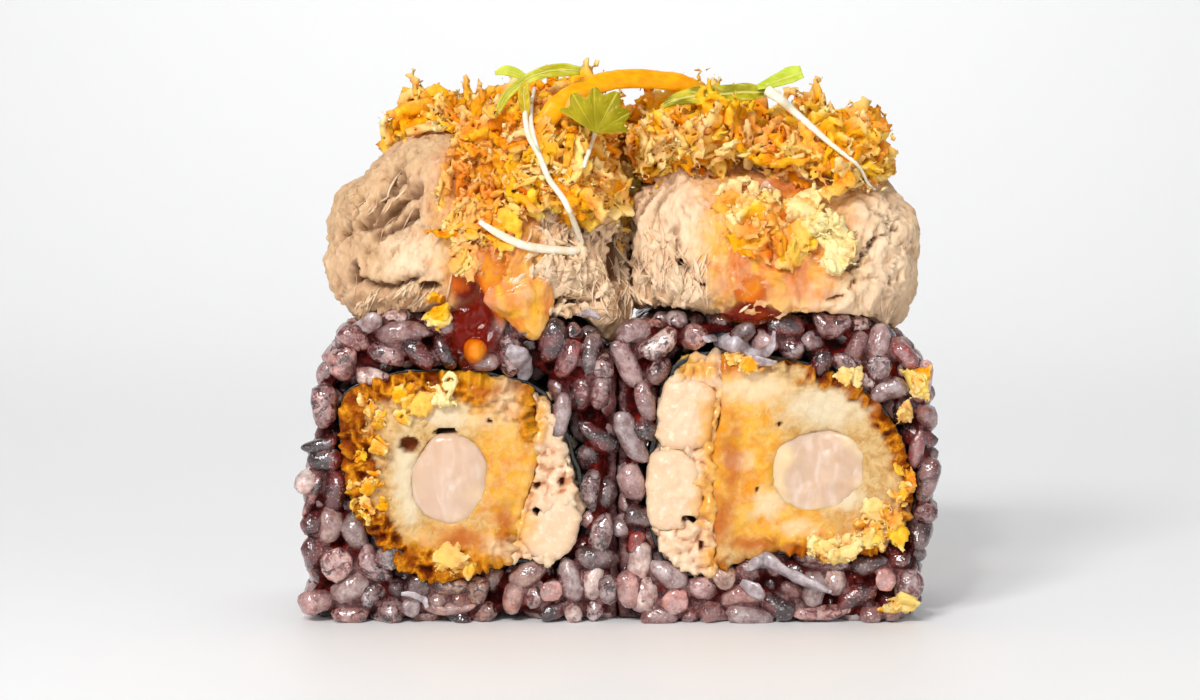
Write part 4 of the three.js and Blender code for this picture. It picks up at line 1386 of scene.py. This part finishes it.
def clustered(surfaces, patches_of, seed, scales):
    """Spots on the front of the surfaces, gathered in the given patches.

    Each spot is a place, the way out of the surface, a scale and how pale the thing there is.
    """
    rng = np.random.default_rng(seed)
    spots = []
    for across, up, half_wide, half_high, count, paleness in patches_of:
        for _ in range(count):
            turn, reach = rng.uniform(0, 2 * math.pi), math.sqrt(rng.random())
            x = (across + half_wide * reach * math.cos(turn)) * MM
            z = (up + half_high * reach * math.sin(turn)) * MM
            place, outwards = front_of(surfaces, x, z)
            if place is not None:
                lift = rng.uniform(0, 0.5) * MM
                shade = np.clip(paleness + rng.normal(0, 0.2), 0, 1)
                spots.append((place - [0, lift, 0], outwards, rng.uniform(*scales), shade))
    return spots


def grown(filled, step):
    """A mesh round the filled cells of a grid, rounded a little, as places and faces."""
    quads = []
    for axis in range(3):
        ahead = np.roll(filled, -1, axis)
        over, up = np.eye(3, dtype=int)[(axis + 1) % 3], np.eye(3, dtype=int)[(axis + 2) % 3]
        for wanted, order in ((filled & ~ahead, [0, 1, 2, 3]), (~filled & ahead, [3, 2, 1, 0])):
            corner = np.argwhere(wanted) + np.eye(3, dtype=int)[axis]
            quads.append(np.stack([corner, corner + over, corner + over + up, corner + up], 1)[:, order])
    spots, index = np.unique(np.concatenate(quads).reshape(-1, 3), axis=0, return_inverse=True)
    faces = index.reshape(-1, 4)
    places = spots * step
    for _ in range(2):
        middles = np.repeat(places[faces].mean(1), 4, axis=0)
        totals = np.stack([np.bincount(faces.ravel(), middles[:, k]) for k in range(3)], 1)
        places = 0.4 * places + 0.6 * totals / np.bincount(faces.ravel())[:, None]
    return places - places.mean(0), faces


def flake(length, width, thickness, seed, pores, triangles):
    """One spongy curled flake with a ragged outline, as places and faces.

    The lower pores is, the fewer holes it has. Its mesh is thinned to about so many triangles.
    """
    rng = np.random.default_rng(seed)
    reach = np.array([length * 0.8, width * 0.85, thickness + 0.22 * length])
    reach = np.ceil(reach / FLAKE_STEP).astype(int)
    cells = np.stack(np.meshgrid(*[np.arange(-n, n + 1) for n in reach], indexing="ij"), -1)
    spots = cells.reshape(-1, 3) * FLAKE_STEP
    level = spots * [1, 1, 0]
    middle = rng.uniform(0.1, 0.6) * spots[:, 0] ** 2 / length + 0.5 * MM * waver(level, 2.0 * MM, seed)
    thick = thickness * (0.75 + 0.45 * waver(level, 1.1 * MM, seed + 1))
    outline = np.hypot(spots[:, 0] / (length / 2), spots[:, 1] / (width / 2))
    outline += 0.5 * waver(spots, 2.0 * MM, seed + 2) + 0.4 * waver(spots, 0.65 * MM, seed + 3)
    filled = (np.abs(spots[:, 2] - middle) < thick / 2) & (outline < 1)
    filled &= waver(spots, 0.9 * MM, seed + 4) > pores
    filled = np.pad(filled.reshape(cells.shape[:3]), 1)
    places, faces = grown(filled, FLAKE_STEP)
    shape = joined("flake", places, faces)
    apply_modifier(shape, "DECIMATE", ratio=min(1.0, triangles / (2 * len(faces))))
    places, faces = places_of(shape), [list(face.vertices) for face in shape.data.polygons]
    bpy.data.objects.remove(shape)
    return places, faces


def strewn(name, spots, shapes, seed, tilt, leans=None):
    """Crumbs joined in one mesh, each lying along a surface or tilted off it.

    Where leans are given, each crumb's length leans about so far from level, in degrees.
    """
    rng = np.random.default_rng(seed)
    parts, pale, tuft = [], [], []
    for middle, out, scale, paleness in spots:
        shape, faces = shapes[rng.integers(len(shapes))]
        up = out + tilt * rng.normal(size=3)
        up /= np.linalg.norm(up)
        along = rng.normal(size=3)
        if leans is not None:
            lean = math.radians(np.interp(middle[0] / MM, FIBRE_LEAN_AT, leans))
            along = HANGING_STRAY * along + [math.cos(lean), 0, math.sin(lean)]
        along -= up * (along @ up)
        along /= np.linalg.norm(along)
        parts.append((shape @ np.array([along, np.cross(up, along), up]) * scale + middle, faces))
        rim = np.linalg.norm(shape[:, :2], axis=1)
        rim = rim / rim.max()
        # painted highlight: each flake's rim is paler, as if its ragged edge caught the light
        rim_highlight = np.clip((2.4 * rim - 1.3) * rng.uniform(0.1, 1.1), 0, 1)
        pale.append(rim_highlight * (1 - paleness) + paleness)
        tuft.append(np.full(len(shape), rng.uniform(-0.1, 0.6)))
    places, faces = gathered(parts)
    places[:, 1] = np.maximum(places[:, 1], FRONT_LIMIT + 0.25 * (places[:, 1] - FRONT_LIMIT))
    places[:, 2] = np.maximum(places[:, 2], 0)
    piece = joined(name, places, faces, fried_crumbs_finish)
    mark(piece, "pale", np.concatenate(pale))
    mark(piece, "tuft", np.concatenate(tuft) + 0.3 * waver(places, 1.0 * MM, seed, 2))
    mark(piece, "soak", patches(places, SAUCED_CRUMBS, seed + 1, 0.8))
    hand_in(piece, "fried_crumbs")


def fried_crumbs():
    finish = finish_named("fried_crumbs")
    tree = finish.node_tree
    # on the heaps' cores the tuft is their relief, so this paints shade, deep orange, in the hollows and
    # light on the ridges; on single flakes it varies at random
    tufted = times(tree, attribute(tree, "tuft"), 0.5)
    sponge = combined(tree, "ADD", mottle(tree, 0.8 * MM, 4.0, 0.68), tufted)
    crumb = blend(tree, between(tree, sponge, 0.3, 0.62), (0.74, 0.17, 0.0002), (0.97, 0.47, 0.006))
    crumb = blend(tree, between(tree, sponge, 0.6, 0.95), crumb, (1.0, 0.68, 0.05))
    toast = between(tree, mottle(tree, 3.6 * MM, 2.0), 0.46, 0.66)
    crumb = blend(tree, times(tree, toast, 0.6), crumb, (0.86, 0.24, 0.0005))
    spongy = from_to(tree, between(tree, sponge, 0.25, 0.65), 0.4, 1.0)
    # paler crumbs, and the painted highlight on rims and ridges
    crumb = blend(tree, times(tree, attribute(tree, "pale"), spongy), crumb, (1.0, 0.84, 0.42))
    soaked = times(tree, attribute(tree, "soak"), from_to(tree, toast, 0.4, 0.85))
    crumb = blend(tree, soaked, crumb, (0.84, 0.21, 0.0005))
    relief = bumps(tree, mottle(tree, 0.4 * MM, 4.0, 0.7), 0.13 * MM, 0.9)
    return close_finish(
        finish,
        {
            "Base Color": crumb,
            "Roughness": 0.5,
            "Specular IOR Level": 0.1,
            "Normal": relief,
            "Subsurface Weight": 0.2,
            "Subsurface Radius": (1.0, 0.8, 0.5),
            "Subsurface Scale": 0.4 * MM,
        },
    )


def scattered_on(piece, count, low_edge, seed, scales, paleness=0.0):
    """Random spots all over the upper part of a piece's surface."""
    rng = np.random.default_rng(seed)
    middles = np.array([face.center for face in piece.data.polygons])
    outwards = np.array([face.normal for face in piece.data.polygons])
    areas = np.array([face.area for face in piece.data.polygons])
    areas *= (outwards[:, 2] > -0.3) & (middles[:, 2] > np.interp(middles[:, 0] / MM, *low_edge) * MM)
    picked = rng.choice(len(areas), size=count, p=areas / areas.sum())
    return [
        (middles[i] + rng.normal(scale=0.3 * MM, size=3), outwards[i], rng.uniform(*scales), paleness)
        for i in picked
        if HEAP_ENDS[0] < middles[i][0] < HEAP_ENDS[1]
    ]


def heap_of_crumbs(side, seed):
    """A tufted core for one heap, and the single flakes that lie over it."""
    heap = copy_of(f"crumbs_{side}", f"crumb_mass_{side}")
    even_skin(heap, CRUMB_SKIN)
    flat = places_of(heap)
    tuft = tufts(flat * 0.8, seed)
    lumps = waver(flat, 7 * MM, seed + 6, 2)
    edge = LOW_EDGES[side]
    relief = MM * (1.2 * tuft + 0.8 * lumps) - HEAP_SINK
    places = flat + directions_of(heap) * relief[:, None]
    below = np.interp(flat[:, 0] / MM, *edge) * MM - flat[:, 2]
    places[:, 1] += 5 * MM * ramp_up(below, -1 * MM, 2 * MM) * ramp_up(-flat[:, 1], 0, 6 * MM)
    move_to(heap, places)
    # painted shade and light: the core is deeper orange in the hollows of its relief and paler on the
    # ridges
    mark(heap, "tuft", tuft - 0.2)
    mark(heap, "pale", np.clip(0.5 * tuft - 0.1, 0, 0.5))
    heap.data.materials.append(fried_crumbs_finish)
    hand_in(heap, "fried_crumbs", f"crumbs_{side}")
    big = scattered_on(heap, BIG_FLAKES, edge, seed + 2, (0.75, 1.6))
    small = scattered_on(heap, SMALL_FLAKES, edge, seed + 4, (0.6, 1.4), 0.2)
    strewn(f"crumb_flakes_{side}", big, big_flakes, seed + 3, 0.4)
    strewn(f"small_crumbs_{side}", small, small_flakes, seed + 5, 1.0)
    return heap


fried_crumbs_finish = fried_crumbs()
big_flakes = [
    flake((5.0 + 0.25 * k) * MM, (3.9 - 0.1 * k) * MM, 0.95 * MM, 300 + 7 * k, -0.22, 640)
    for k in range(10)
]
shards = [flake((5.6 + 0.3 * k) * MM, 2.3 * MM, 0.9 * MM, 500 + 7 * k, -0.25, 520) for k in range(8)]
clumps = [flake(3.6 * MM, 3.0 * MM, 1.8 * MM, 600 + 7 * k, -0.6, 640) for k in range(8)]
small_flakes = [flake(2.6 * MM, 1.8 * MM, 1.0 * MM, 400 + 7 * k, -0.3, 200) for k in range(10)]
heaps = [surface_of(heap_of_crumbs("left", 111)), surface_of(heap_of_crumbs("right", 122))]
hanging = clustered(mounds + heaps, HANGING_CRUMBS, 131, (0.65, 1.15))
strewn("hanging_crumbs", hanging, shards + big_flakes[:4], 132, 0.4, CRUMB_LEAN)
soaked = clustered(mounds, SOAKED_CRUMBS, 133, (0.8, 1.25))
strewn("soaked_crumbs", soaked, clumps + big_flakes[:2], 134, 0.6)
cuts = [
    surface_of(bpy.data.objects[name])
    for name in ("rice_grains_left", "rice_grains_right", "fried_batter_left", "fried_batter_right")
]
stuck = clustered(cuts + mounds, STUCK_CRUMBS, 141, (0.45, 1.0))
strewn("stuck_crumbs", stuck, small_flakes + clumps[:4], 142, 0.6)


# ---- burst grains --------------------------------------------------------------------------------
# A few overcooked grains have burst into translucent curls and smears of starch on the cuts, and
# thin films of it cross the right mound.

CUT_FRONT = -13.7 * MM
CURL_LIMIT = -16.75 * MM  # no curl reaches further forward
CURL_PROUD = {"burst_rice": 1.5 * MM, "starch_films": 0.3 * MM}
CURL_SLOTS = {"burst_rice": "black_rice", "starch_films": "pulled_fish"}

# Each curl: places across and up along it and its widths, in millimetres, and its flatness.
CURLS = {
    "burst_rice": [
        ([(10.3, 34.2), (12.2, 34.2), (14.1, 33.5), (15.6, 32.3), (17.2, 32.3), (18.3, 33.5), (18.4, 35.2)],
         [1.0, 3.0, 2.6, 1.6, 1.8, 1.5, 0.7], 0.45),
        ([(14.4, 32.6), (16.4, 31.6), (18.6, 31.4)], [0.8, 1.8, 0.8], 0.3),
        ([(15.8, 7.4), (17.8, 7.6), (19.8, 6.4), (22.0, 5.3), (24.4, 4.4), (25.4, 4.0)],
         [2.0, 3.0, 2.4, 2.1, 1.7, 0.7], 0.5),
        ([(14.6, 5.2), (16.2, 4.2), (17.4, 3.4)], [0.9, 2.0, 0.8], 0.4),
        ([(-25.8, 3.8), (-24.4, 3.6), (-23.2, 2.9), (-22.7, 2.1)], [0.5, 1.0, 0.9, 0.5], 0.5),
        ([(-13.2, 33.0), (-11.9, 32.2), (-11.3, 30.5), (-11.7, 29.0)], [1.4, 2.8, 2.4, 1.2], 0.35),
        ([(-4.6, 37.0), (-3.4, 37.2), (-2.4, 36.4)], [0.5, 1.0, 0.5], 0.6),
    ],
    "starch_films": [
        ([(15.6, 54.9), (17.6, 53.7), (20.3, 53.2), (22.2, 53.2), (24.0, 51.8)],
         [0.5, 0.4, 0.7, 0.8, 0.3], 0.5),
        ([(22.5, 55.7), (22.4, 54.4), (22.2, 53.2)], [0.3, 0.5, 0.8], 0.5),
        ([(16.0, 51.0), (17.6, 52.4), (18.8, 51.6)], [0.4, 0.9, 0.4], 0.4),
    ],
}


def laid_on(surfaces, path, usual):
    """The places of a path across and up, each on whatever is in front there, or else at usual."""
    line = []
    for x, z in path:
        place, _ = front_of(surfaces, x, z)
        line.append([x, usual if place is None else place[1], z])
    return np.array(line)


def starch(name, colour, paler):
    """Cloudy, translucent and wet."""
    finish = finish_named(name)
    tree = finish.node_tree
    cloudy = blend(tree, between(tree, mottle(tree, 1.2 * MM, 3.0), 0.35, 0.65), colour, paler)
    relief = bumps(tree, mottle(tree, 0.5 * MM, 3.0, 0.6), 0.12 * MM, 0.8)
    return close_finish(
        finish,
        {
            "Base Color": cloudy,
            "Roughness": 0.2,
            "Normal": relief,
            "Subsurface Weight": 0.5,
            "Subsurface Radius": (1.0, 0.7, 0.65),
            "Subsurface Scale": 1.0 * MM,
            "Coat Weight": 0.5,
            "Coat Roughness": 0.08,
        },
    )


curl_finishes = {
    "burst_rice": starch("burst_rice", (0.34, 0.27, 0.28), (0.62, 0.56, 0.59)),
    "starch_films": starch("starch_films", (0.60, 0.34, 0.20), (0.85, 0.60, 0.45)),
}
fronts = cuts + mounds
for name, curls in CURLS.items():
    parts = []
    for path, widths, flatness in curls:
        line = laid_on(fronts, smooth_line(path, 6 * len(path)) * MM, CUT_FRONT)
        for _ in range(16):
            line[1:-1, 1] = (line[:-2, 1] + line[1:-1, 1] + line[2:, 1]) / 3
        line[:, 1] -= CURL_PROUD[name]
        places, faces = rod(line, spread_over(widths, len(line)), 12, flatness)
        places += 0.22 * MM * shake(places, 2.2 * MM, 150, 2)
        places[:, 1] = np.maximum(places[:, 1], CURL_LIMIT)
        parts.append((places, faces))
    hand_in(joined(name, *gathered(parts), curl_finishes[name]), CURL_SLOTS[name])


# ---- sauce ---------------------------------------------------------------------------------------
# Sweet sauce was poured over the crumbs. It has run down both mounds, amber where it is thin and
# deep red-brown where it is thick, and hangs in a drop on the rice above the left filling.

SAUCE_STEP = 0.3 * MM
SAUCE_LEVELS = (-16 * MM, -13.4 * MM)  # how far forward and back the sheets lie
SAUCE_LIMIT = -16.7 * MM
# Each pool: across, up, half width, half height, thickness in millimetres, how deep its red, and
# how much it covers.
POOLS = {
    "left": [
        (-15.4, 40.4, 2.2, 6.0, 0.2, 0.25, 0.8), (-18.3, 41.6, 1.8, 3.6, 0.3, 0.55, 1.0),
        (-17.6, 35.2, 3.0, 4.4, 0.4, 1.15, 0.95), (-17.0, 32.7, 1.35, 1.45, 2.0, 0.3, 1.0),
    ],
    "right": [
        (15.4, 39.4, 2.2, 2.2, 0.25, 0.3, 0.7), (16.4, 37.2, 3.2, 1.2, 0.3, 0.9, 0.9),
    ],
}


def poured_sauce():
    """Amber where thin, red-brown where deep, and clear towards its edges."""
    finish = finish_named("poured_sauce")
    tree = finish.node_tree
    deep = roughened(tree, attribute(tree, "deep"), mottle(tree, 2.6 * MM, 2.0, 0.5, 0.8), 0.6)
    amber = blend(tree, between(tree, deep, 0.0, 0.45), (0.94, 0.42, 0.03), (0.70, 0.13, 0.001))
    colour = blend(tree, between(tree, deep, 0.4, 0.9), amber, (0.15, 0.005, 0.0002))
    shader = node(
        tree,
        "BsdfPrincipled",
        {
            "Base Color": colour,
            "Roughness": 0.06,
            "Specular IOR Level": 0.15,
            "Subsurface Weight": 0.1,
            "Subsurface Radius": (1.0, 0.3, 0.03),
            "Subsurface Scale": 1.0 * MM,
            "Normal": bumps(tree, mottle(tree, 1.2 * MM, 3.0), 0.2 * MM, 0.5),
        },
    )
    clear = node(tree, "BsdfTransparent")
    cover = attribute(tree, "cover")
    mix = node(tree, "MixShader", {0: cover, 1: clear.outputs[0], 2: shader.outputs[0]})
    node(tree, "OutputMaterial", {"Surface": mix.outputs[0]})
    return finish


def pour(side, seed):
    """A sheet of sauce that lies on whatever is in front, thick in its pools."""
    pools = POOLS[side]
    low = [min(p[k] - p[k + 2] for p in pools) - 1.5 for k in (0, 1)]
    high = [max(p[k] + p[k + 2] for p in pools) + 1.5 for k in (0, 1)]
    xs = np.arange(low[0] * MM, high[0] * MM, SAUCE_STEP)
    zs = np.arange(low[1] * MM, high[1] * MM, SAUCE_STEP)
    grid = laid_on(fronts, [(x, z) for x in xs for z in zs], SAUCE_LEVELS[1])
    level = np.clip(grid[:, 1], *SAUCE_LEVELS).reshape(len(xs), len(zs))
    for _ in range(20):
        padded = np.pad(level, 1, mode="edge")
        beside = padded[:-2, 1:-1] + padded[2:, 1:-1] + padded[1:-1, :-2] + padded[1:-1, 2:]
        level = (beside + 2 * level) / 6
    grid[:, 1] = 0
    thick, cover = np.zeros(level.size), np.zeros(level.size)
    deep = np.full(level.size, pools[0][5])
    for n, (across, up, half_wide, half_high, pool_thick, pool_deep, pool_cover) in enumerate(pools):
        streaks = 0.15 * half_wide * waver(grid * [1, 1, 0.5], 2.0 * MM, seed + n, 2)
        reach = np.hypot((grid[:, 0] / MM - across) / half_wide, (grid[:, 2] / MM - up) / half_high)
        inside = ramp_up(1 + streaks - reach, -0.4, 0.6)
        thick = np.maximum(thick, inside * pool_thick * MM)
        deep += (pool_deep - deep) * ramp_up(inside, 0, 0.5)
        cover = np.maximum(cover, inside * pool_cover)
    ripples = 0.35 * MM * cover * waver(grid, 2.0 * MM, seed + 20, 2)
    grid[:, 1] = level.ravel() - thick + ripples + 0.25 * MM * (1 - cover) - 0.05 * MM
    grid[:, 1] = np.maximum(grid[:, 1], SAUCE_LIMIT)
    index = np.arange(level.size).reshape(level.shape)
    quads = np.stack([index[:-1, :-1], index[1:, :-1], index[1:, 1:], index[:-1, 1:]], -1)
    quads = quads.reshape(-1, 4)
    quads = quads[cover[quads].max(1) > 0.02]
    used, packed = np.unique(quads, return_inverse=True)
    sheet = joined(f"sauce_{side}", grid[used], packed.reshape(-1, 4), poured_sauce_finish)
    mark(sheet, "cover", ramp_up(cover[used], 0.05, 0.9))
    mark(sheet, "deep", deep[used])
    hand_in(sheet, "sauce")


poured_sauce_finish = poured_sauce()
pour("left", 161)
pour("right", 171)


# ---- carrot strip --------------------------------------------------------------------------------
# A thin strip of fresh carrot bridges the two heaps in an arch. It was only laid there, with its
# left end down in front of the crumbs.

CARROT_SKIN = 0.22 * MM
CARROT_SHRINK = 0.2 * MM


def fresh_carrot():
    finish = finish_named("fresh_carrot")
    tree = finish.node_tree
    grain = mottle(tree, 0.7 * MM, 3.0, 0.5, 0.0, (0.3, 1.0, 1.0))
    colour = blend(tree, between(tree, grain, 0.3, 0.7), (0.97, 0.34, 0.001), (1.0, 0.47, 0.004))
    relief = bumps(tree, grain, 0.08 * MM, 0.5)
    return close_finish(
        finish,
        {
            "Base Color": colour,
            "Roughness": 0.32,
            "Specular IOR Level": 0.2,
            "Normal": relief,
            "Subsurface Weight": 0.35,
            "Subsurface Radius": (1.0, 0.35, 0.02),
            "Subsurface Scale": 1.2 * MM,
        },
    )


carrot = copy_of("carrot_strip", "carrot_ribbon")
even_skin(carrot, CARROT_SKIN)
apply_modifier(carrot, "SMOOTH", factor=0.6, iterations=5)
flat = places_of(carrot)
relief = 0.1 * MM * waver(flat, 2.0 * MM, 181, 2) - CARROT_SHRINK
move_to(carrot, flat + directions_of(carrot) * relief[:, None])
carrot.data.materials.append(fresh_carrot())
hand_in(carrot, "carrot", "carrot_strip")


# ---- sprouts -------------------------------------------------------------------------------------
# Two young sprouts lie across the top. Each has narrow or fan-shaped leaves, thin and slightly
# folded along the midrib, on pale watery stems that hang down over the crumbs and the fish.

LEAF_LONG = 22
LEAF_WIDE = 10
LEAF_VEINS = 9
LEAF_THICK = 0.14 * MM

# Each leaf: places across and up along its midrib, how far forward they lie, its widths there,
# its turn about the midrib in degrees, its fold, and its two greens.
LEAVES = {
    "arched_leaf": (
        [(-4.5, 65.8), (-6.3, 65.9), (-8.4, 65.8), (-10.6, 65.0), (-12.5, 63.7), (-13.8, 62.1),
         (-14.5, 60.5)],
        -13.2, [1.0, 1.7, 1.5, 1.25, 1.2, 1.0, 0.3], 15, 0.25, (0.45, 0.40, 0.008), (0.66, 0.68, 0.09),
    ),
    "far_leaf": (
        [(-14.7, 65.6), (-13.4, 65.9), (-12.0, 65.5), (-10.6, 64.7)],
        -11.2, [0.4, 1.3, 1.2, 0.5], 20, 0.2, (0.48, 0.50, 0.012), (0.60, 0.68, 0.06),
    ),
    "hanging_leaf": (
        [(-11.0, 64.6), (-11.2, 63.2), (-11.0, 61.6), (-10.8, 60.4)],
        -13.6, [0.6, 1.5, 1.3, 0.3], 10, 0.3, (0.46, 0.30, 0.006), (0.66, 0.48, 0.02),
    ),
    "long_leaf": (
        [(5.0, 61.4), (6.8, 62.4), (9.4, 62.9), (12.4, 63.1), (15.4, 63.3), (17.8, 63.3)],
        -9.6, [0.3, 1.6, 2.2, 2.3, 2.3, 1.0], 25, 0.2, (0.22, 0.20, 0.002), (0.62, 0.52, 0.02),
    ),
    "folded_leaf": (
        [(16.4, 63.9), (18.6, 64.5), (20.4, 65.2), (21.9, 65.7)],
        -10.4, [0.6, 1.6, 2.2, 1.5], 20, 0.5, (0.44, 0.54, 0.02), (0.60, 0.72, 0.09),
    ),
}

# The fan-shaped leaf: where its foot is, and how far its teeth reach at each turn from upright,
# in millimetres and degrees.
FAN_FOOT = (-2.75, -16.1, 58.5)
FAN_TURNS = [-58, -35, -10, 12, 40, 65, 88]
FAN_REACHES = [4.9, 5.3, 5.1, 5.5, 5.3, 4.5, 3.7]
FAN_RIBS = 11
FAN_LONG = 61
FAN_DEEP = 12

STEM_BACK = -12.5 * MM  # where nothing lies behind a stem
STEM_LIMIT = -16.8 * MM  # no stem reaches further forward

# Each stem: places across and up along it, and its widths, in millimetres.
STEMS = [
    ([(-11.3, 64.2), (-11.1, 61.3), (-10.7, 58.5), (-9.3, 55.8), (-8.2, 53.1), (-6.3, 50.4), (-5.0, 47.1),
      (-4.5, 45.2), (-5.2, 44.5), (-7.0, 44.6), (-9.4, 44.9), (-12.0, 45.6), (-14.5, 46.9), (-16.4, 48.1)],
     [0.5, 0.65, 0.7, 0.75, 0.75, 0.75, 0.8, 0.85, 1.0, 1.05, 1.1, 1.05, 0.95, 0.6]),
    ([(-10.1, 63.9), (-10.4, 61.4), (-10.2, 59.0), (-9.4, 56.2)], [0.4, 0.6, 0.6, 0.5]),
    ([(-2.75, 58.6), (-3.2, 57.2), (-3.8, 55.6), (-4.1, 54.5)], [0.6, 0.55, 0.6, 0.4]),
    ([(17.6, 63.5), (19.6, 62.1), (22.2, 59.8), (24.6, 57.7), (26.3, 56.3), (28.6, 54.4), (29.8, 52.5),
      (30.8, 51.7)],
     [1.4, 1.1, 0.85, 0.7, 0.6, 0.45, 0.35, 0.25]),
    ([(-13.1, 40.6), (-13.6, 39.4), (-14.8, 38.7), (-16.1, 38.9)], [0.3, 0.4, 0.4, 0.25]),
    ([(-19.9, 37.1), (-18.5, 37.0)], [0.35, 0.35]),
]


def leaf_green(name, dark, bright, rib=(0.80, 0.74, 0.22)):
    """Two greens in cloudy patches, with pale raised veins."""
    finish = finish_named(name)
    tree = finish.node_tree
    green = blend(tree, between(tree, mottle(tree, 2.4 * MM, 2.0), 0.35, 0.7), dark, bright)
    green = blend(tree, attribute(tree, "vein"), green, rib)
    relief = bumps(tree, attribute(tree, "vein"), 0.15 * MM, 0.7)
    return close_finish(
        finish,
        {
            "Base Color": green,
            "Roughness": 0.38,
            "Specular IOR Level": 0.15,
            "Normal": relief,
            "Subsurface Weight": 0.3,
            "Subsurface Radius": (0.6, 1.0, 0.1),
            "Subsurface Scale": 0.8 * MM,
        },
    )


def grid_faces(rows, columns):
    """The faces of a sheet of places that were listed row by row."""
    index = np.arange((rows + 1) * (columns + 1)).reshape(rows + 1, columns + 1)
    corners = [index[:-1, :-1], index[:-1, 1:], index[1:, 1:], index[1:, :-1]]
    return np.stack(corners, -1).reshape(-1, 4)


def hand_in_leaf(name, places, faces, finish, vein):
    """Gives a leaf its thickness and its veins, and attaches it to the body."""
    leaf = joined(name, np.array(places), faces, finish)
    mark(leaf, "vein", vein)
    apply_modifier(leaf, "SOLIDIFY", thickness=LEAF_THICK, offset=0)
    hand_in(leaf, "sprouts")


def narrow_leaf(name, midrib, widths, turn, fold, finish):
    """A leaf spread along its midrib, turned about it and folded a little."""
    line = smooth_line(midrib, LEAF_LONG)
    tangents = np.gradient(line, axis=0)
    tangents /= np.linalg.norm(tangents, axis=1, keepdims=True)
    spread = np.pad(spread_over(widths, LEAF_LONG), 1, mode="edge")
    spread = np.convolve(spread, [0.25, 0.5, 0.25], "valid")
    turn = math.radians(turn)
    places, vein = [], []
    for i, (middle, tangent, width) in enumerate(zip(line, tangents, spread)):
        level = np.cross(tangent, [0, -1, 0])
        level /= np.linalg.norm(level)
        across = math.cos(turn) * level + math.sin(turn) * np.array([0, -1.0, 0])
        out = np.cross(across, tangent)
        for j in range(LEAF_WIDE + 1):
            side = 2 * j / LEAF_WIDE - 1
            reach = side * width / 2
            places.append(middle + across * reach + out * fold * abs(reach))
            ribs = abs(math.sin(math.pi * LEAF_VEINS * (i / LEAF_LONG - 0.35 * abs(side))))
            vein.append(max(1 - 5 * abs(side), 0.7 - 3.5 * ribs, 0))
    places = np.array(places)
    places += 0.12 * MM * shake(places, 2.4 * MM, 190)
    hand_in_leaf(name, places, grid_faces(LEAF_LONG - 1, LEAF_WIDE), finish, vein)


def fan_leaf(finish):
    """A leaf with pointed teeth that fans out from its foot, cupped and ribbed."""
    places, vein = [], []
    for i in range(FAN_LONG):
        share = i / (FAN_LONG - 1)
        turn = np.interp(share, np.linspace(0, 1, len(FAN_TURNS)), FAN_TURNS)
        ribs = math.pi * (FAN_RIBS - 1) * share
        rib = abs(math.sin(ribs / 2))
        reach = np.interp(turn, FAN_TURNS, FAN_REACHES) * (0.93 + 0.09 * math.cos(ribs))
        for j in range(FAN_DEEP + 1):
            deep = j / FAN_DEEP
            out = reach * deep
            cup = 0.2 * out**2 * (share - 0.4) ** 2 + 0.05 * out - 0.25 * rib * deep
            place = [out * math.sin(math.radians(turn)), cup, out * math.cos(math.radians(turn))]
            places.append((np.array(FAN_FOOT) + place) * MM)
            branch = abs(math.sin(math.pi * (2.6 * deep + 5 * abs(share * 5 % 1 - 0.5))))
            vein.append(max(1 - (2.5 + 5 * deep) * rib, 0.5 - 3 * branch, 0))
    hand_in_leaf("fan_leaf", places, grid_faces(FAN_LONG - 1, FAN_DEEP), finish, vein)


for name, (midrib, forward, widths, turn, fold, dark, bright) in LEAVES.items():
    spots = [[x * MM, forward * MM, z * MM] for x, z in midrib]
    narrow_leaf(name, spots, widths, turn, fold, leaf_green(name, dark, bright))
fan_leaf(leaf_green("fan_leaf", (0.27, 0.21, 0.001), (0.42, 0.33, 0.006), (0.60, 0.52, 0.05)))

stem_finish = starch("watery_stem", (0.92, 0.80, 0.55), (0.97, 0.92, 0.80))
toppings = mounds + heaps
toppings += [
    surface_of(bpy.data.objects[name])
    for name in ("hanging_crumbs", "crumb_flakes_left", "crumb_flakes_right")
]
parts = []
for path, widths in STEMS:
    line = laid_on(toppings, smooth_line(path, 5 * len(path)) * MM, STEM_BACK)
    thick = spread_over(widths, len(line))
    for _ in range(8):
        smooth = np.convolve(np.pad(line[:, 1], 2, mode="edge"), np.ones(5) / 5, "valid")
        line[:, 1] = np.minimum(smooth, line[:, 1])
    line[:, 1] = np.maximum(line[:, 1] - 0.2 * thick, STEM_LIMIT + thick / 2)
    parts.append(rod(line, thick, 10))
hand_in(joined("sprout_stems", *gathered(parts), stem_finish), "sprouts")
